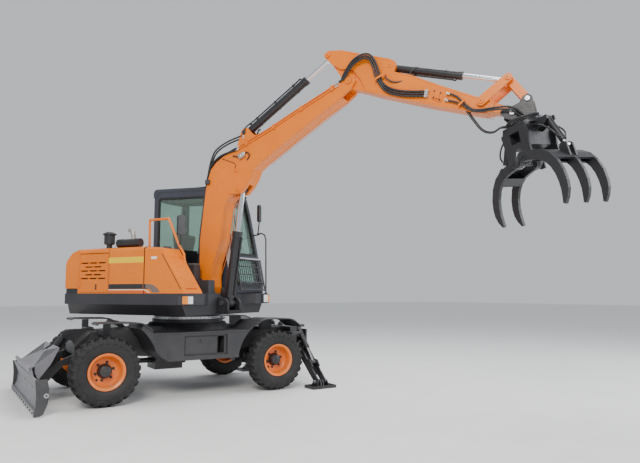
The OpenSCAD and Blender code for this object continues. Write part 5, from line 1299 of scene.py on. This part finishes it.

# chassis: ledge, door, latch, bolts
m = Mesh(); mb = Mesh(); mp = Mesh()
for s in (-1, 1):
    yo = 970
    # ledge along the top of the side box
    mp.box(CH, (600, yo - 12 if s > 0 else -yo - 6, 852), (1940, yo + 6 if s > 0 else -yo + 12, 874), 3)
    # recessed door with a latch
    mp.box(CH, (1016, yo - 27 if s > 0 else -yo + 20, 574), (1462, yo - 20 if s > 0 else -yo + 27, 810), 3)
    m.box(CH, (1222, yo - 21 if s > 0 else -yo + 12, 722), (1258, yo - 12 if s > 0 else -yo + 21, 772), 3)
    mb.hexbolt(CH(1240, s * (yo - 12), 747), Vector((0, s, 0)), 0.008)
mp.make("side_box_panels", "chassis", "chassis")
m.make("side_box_latches", "chassis", "chassis")
mb.make("side_box_bolts", "bolt", "chassis")
m = Mesh()
for i in range(48):
    a = 2 * math.pi * i / 48
    m.turn(CH(1400 + 500 * math.cos(a), 500 * math.sin(a), 1038), Vector((math.cos(a), math.sin(a), 0)), [(-0.002, 0.007), (0.003, 0.007)], 8)
m.make("slew_ring_plugs", "bolt", "chassis")
# mudguard lips
m = Mesh()
for s in (-1, 1):
    top = [(-122, 1010), (-102, 1030), (300, 1024), (425, 1014), (520, 958), (560, 915)]
    m.tube([CH(x, s * 998, z - 7) for x, z in top], 0.0085, 8, 2)
    top = [(2060, 950), (2140, 1006), (2260, 1030), (2600, 1024), (2700, 985), (2800, 905)]
    m.tube([CH(x, s * 998, z - 7) for x, z in top], 0.0085, 8, 2)
m.make("guard_lips", "chassis", "chassis")


def ST(s):
    c, q = 0.0, float(s)
    return lambda a, b, z: CH(3030 - s * b, s * a, z)


for s, nm in ((-1, "r"), (1, "l")):
    T = ST(s)
    m = Mesh(); mb = Mesh()
    for b in (-76, 76):
        n = D(T, 0, b, 0)
        for p in ((560, 620, 34), (1170, 92, 24)):
            c = T(p[0], b + math.copysign(46 if p[0] < 600 else 22, b), p[1])
            m.turn(c, n, [(-0.004, p[2] / 1000), (0.008, p[2] / 1000), (0.011, p[2] / 1000 - 0.004), (0.011, 0)], 24)
    m.make("stab_pins_" + nm, "steel", "stab_leg_" + nm)
    m = Mesh()
    m.tube([T(520, -52, 820), T(560, -64, 780), T(610, -60, 740), T(640, -50, 716)], 0.008, 10, 6)
    m.make("stab_hose_" + nm, "hose", "stab_barrel_" + nm)

# ---------------------------------------------------------------- engine cover details
m = Mesh()
m.prism(U, [(-1204, -728), (-672, -728), (-672, 108), (-1204, 108)], HOOD + 14.3, HOOD + 20, "uv", c=2)
for i in range(9):
    v = -700 + i * 84
    m.box(U, (-1150, v, HOOD + 19), (-730, v + 46, HOOD + 26), 3)
m.make("lid_ribs", "orange", "engine_lid")
m = Mesh()
for v in (-560, -120):
    m.rod(U(-664, v - 40, HOOD + 18), U(-664, v + 40, HOOD + 18), 0.009, 12)
m.make("lid_hinges", "black", "engine_lid")
m = Mesh()
m.tube([U(-330, -830, 2148), U(-330, -830, 2226), U(-350, -830, 2273), U(-405, -830, 2300)], 0.031, 24, 4)
m.make("tail_pipe", "exhaust", "upper")
m = Mesh()
m.turn(U(-600, -830, HOOD + 68), D(U, 1, 0, 0), [(-0.004, 0.052), (-0.004, 0.062), (0.020, 0.062), (0.020, 0.0605), (0.390, 0.0605), (0.390, 0.062), (0.414, 0.062), (0.414, 0.052)], 40)
for u in (-565, -265):
    m.turn(U(u, -830, HOOD + 68), D(U, 1, 0, 0), [(0, 0.0608), (0, 0.064), (0.04, 0.064), (0.04, 0.0608)], 40, ends=False)
m.make("silencer_bands", "black", "upper")
m = Mesh()
for i in range(30):
    a = 2 * math.pi * i / 30
    m.box(lambda x, y, z, a=a: U(-756 + (70 + x) * math.cos(a) - y * math.sin(a), -865 + (70 + x) * math.sin(a) + y * math.cos(a), z), (-2, -3, HOOD + 70), (5, 3, HOOD + 190), 1)
m.make("cleaner_ribs", "plastic", "upper")
m = Mesh()
m.turn(U(262, -780, 2012), D(U, 0, 0, 1), [(0, 0.052), (0.022, 0.052), (0.030, 0.046), (0.032, 0.0)], 32)
m.make("tank_cap", "plastic", "upper")
# mirror glass
m = Mesh()
for (uu, vv, zz, a) in ((379, -642, 2349, -15), (664, 925, 2685, 15)):
    c, s = math.cos(math.radians(a)), math.sin(math.radians(a))
    T = lambda x, y, z: U(uu + c * x - s * y, vv + s * x + c * y, zz + z)
    m.prism(T, [(p[0], p[1]) for p in rounded_rect(-52, -130, 52, 130, 22)], -19.5, -17.5, "vz")
m.make("mirror_glass", "mirror", "upper")
# rail feet and grip tape
m = Mesh()
foot = [(-0.004, 0.034), (0.006, 0.034), (0.010, 0.022), (0.016, 0.0178)]
m.turn(U(-196, -640, 2040), D(U, 0, 0, 1), foot, 24)
m.rod(U(446.6, -640, 1860), U(453, -640, 1818), 0.017, 20)
m.turn(U(452, -640, 1824), D(U, 0.82, 0, 0.572), foot, 24)
m.make("rail_feet", "orange", "upper")
m = Mesh()
m.turn(U(805, 925, 1390), D(U, 0, 0, 1), [(-0.004, 0.026), (0.006, 0.026), (0.012, 0.012)], 24)
m.rod(U(577, 925, 2330), U(560, 925, 2326), 0.011, 16)
m.make("grab_rail_feet", "black", "upper")
m = Mesh()
m.rod(U(349, -640, 2072), U(364, -640, 2100), 0.014, 16, 0.002)
m.rod(U(641, 925, 2338), U(646, 925, 2370), 0.014, 16, 0.002)
m.make("mirror_clamps", "black", "upper")
m = Mesh()
for i in range(2):
    for j in range(4):
        z = 2032 - (56 + i * 82 + 30 - 36) * 0.0704
        m.box(U, (56 + i * 82, -890 + j * 62, z - 3), (116 + i * 82, -850 + j * 62, z + 2.5), 1)
m.make("tread_plates", "black", "upper")
# black cover beside the boom foot
m = Mesh()
m.box(U, (21, -603, 1392), (66, -362, 1975), 10)
m.box(U, (66, -580, 1430), (74, -385, 1700), 3)
m.make("valve_cover", "black", "upper")

# floor, light, end
def studio():
    me = bpy.data.meshes.new("floor")
    s = 60.0
    me.from_pydata([(-s, -s, 0), (s, -s, 0), (s, s, 0), (-s, s, 0)], [], [(0, 1, 2, 3)])
    ob = bpy.data.objects.new("floor", me)
    bpy.context.scene.collection.objects.link(ob)
    mat = plain("studio_floor", (0.80, 0.80, 0.79), rough=0.75, vary=0.03, scale=1.5)
    me.materials.append(mat)
    w = bpy.data.worlds.new("studio")
    w.use_nodes = True
    w.node_tree.nodes["Background"].inputs["Color"].default_value = (0.86, 0.90, 0.95, 1)
    w.node_tree.nodes["Background"].inputs["Strength"].default_value = 0.72
    bpy.context.scene.world = w
    for name, loc, size, power, col in (("key", (-7, -9, 9), 5, 1500, (1.0, 0.97, 0.92)), ("top", (3, 2, 12), 8, 1000, (1.0, 1.0, 1.0)), ("fill", (9, -6, 5), 6, 500, (0.93, 0.96, 1.0))):
        ld = bpy.data.lights.new(name, "AREA")
        ld.size = size
        ld.energy = power
        ld.color = col
        lo = bpy.data.objects.new(name, ld)
        lo.location = loc
        lo.rotation_euler = (Vector((0, -0.5, 1.5)) - Vector(loc)).to_track_quat("-Z", "Y").to_euler()
        bpy.context.scene.collection.objects.link(lo)


studio()
bpy.context.view_layer.update()
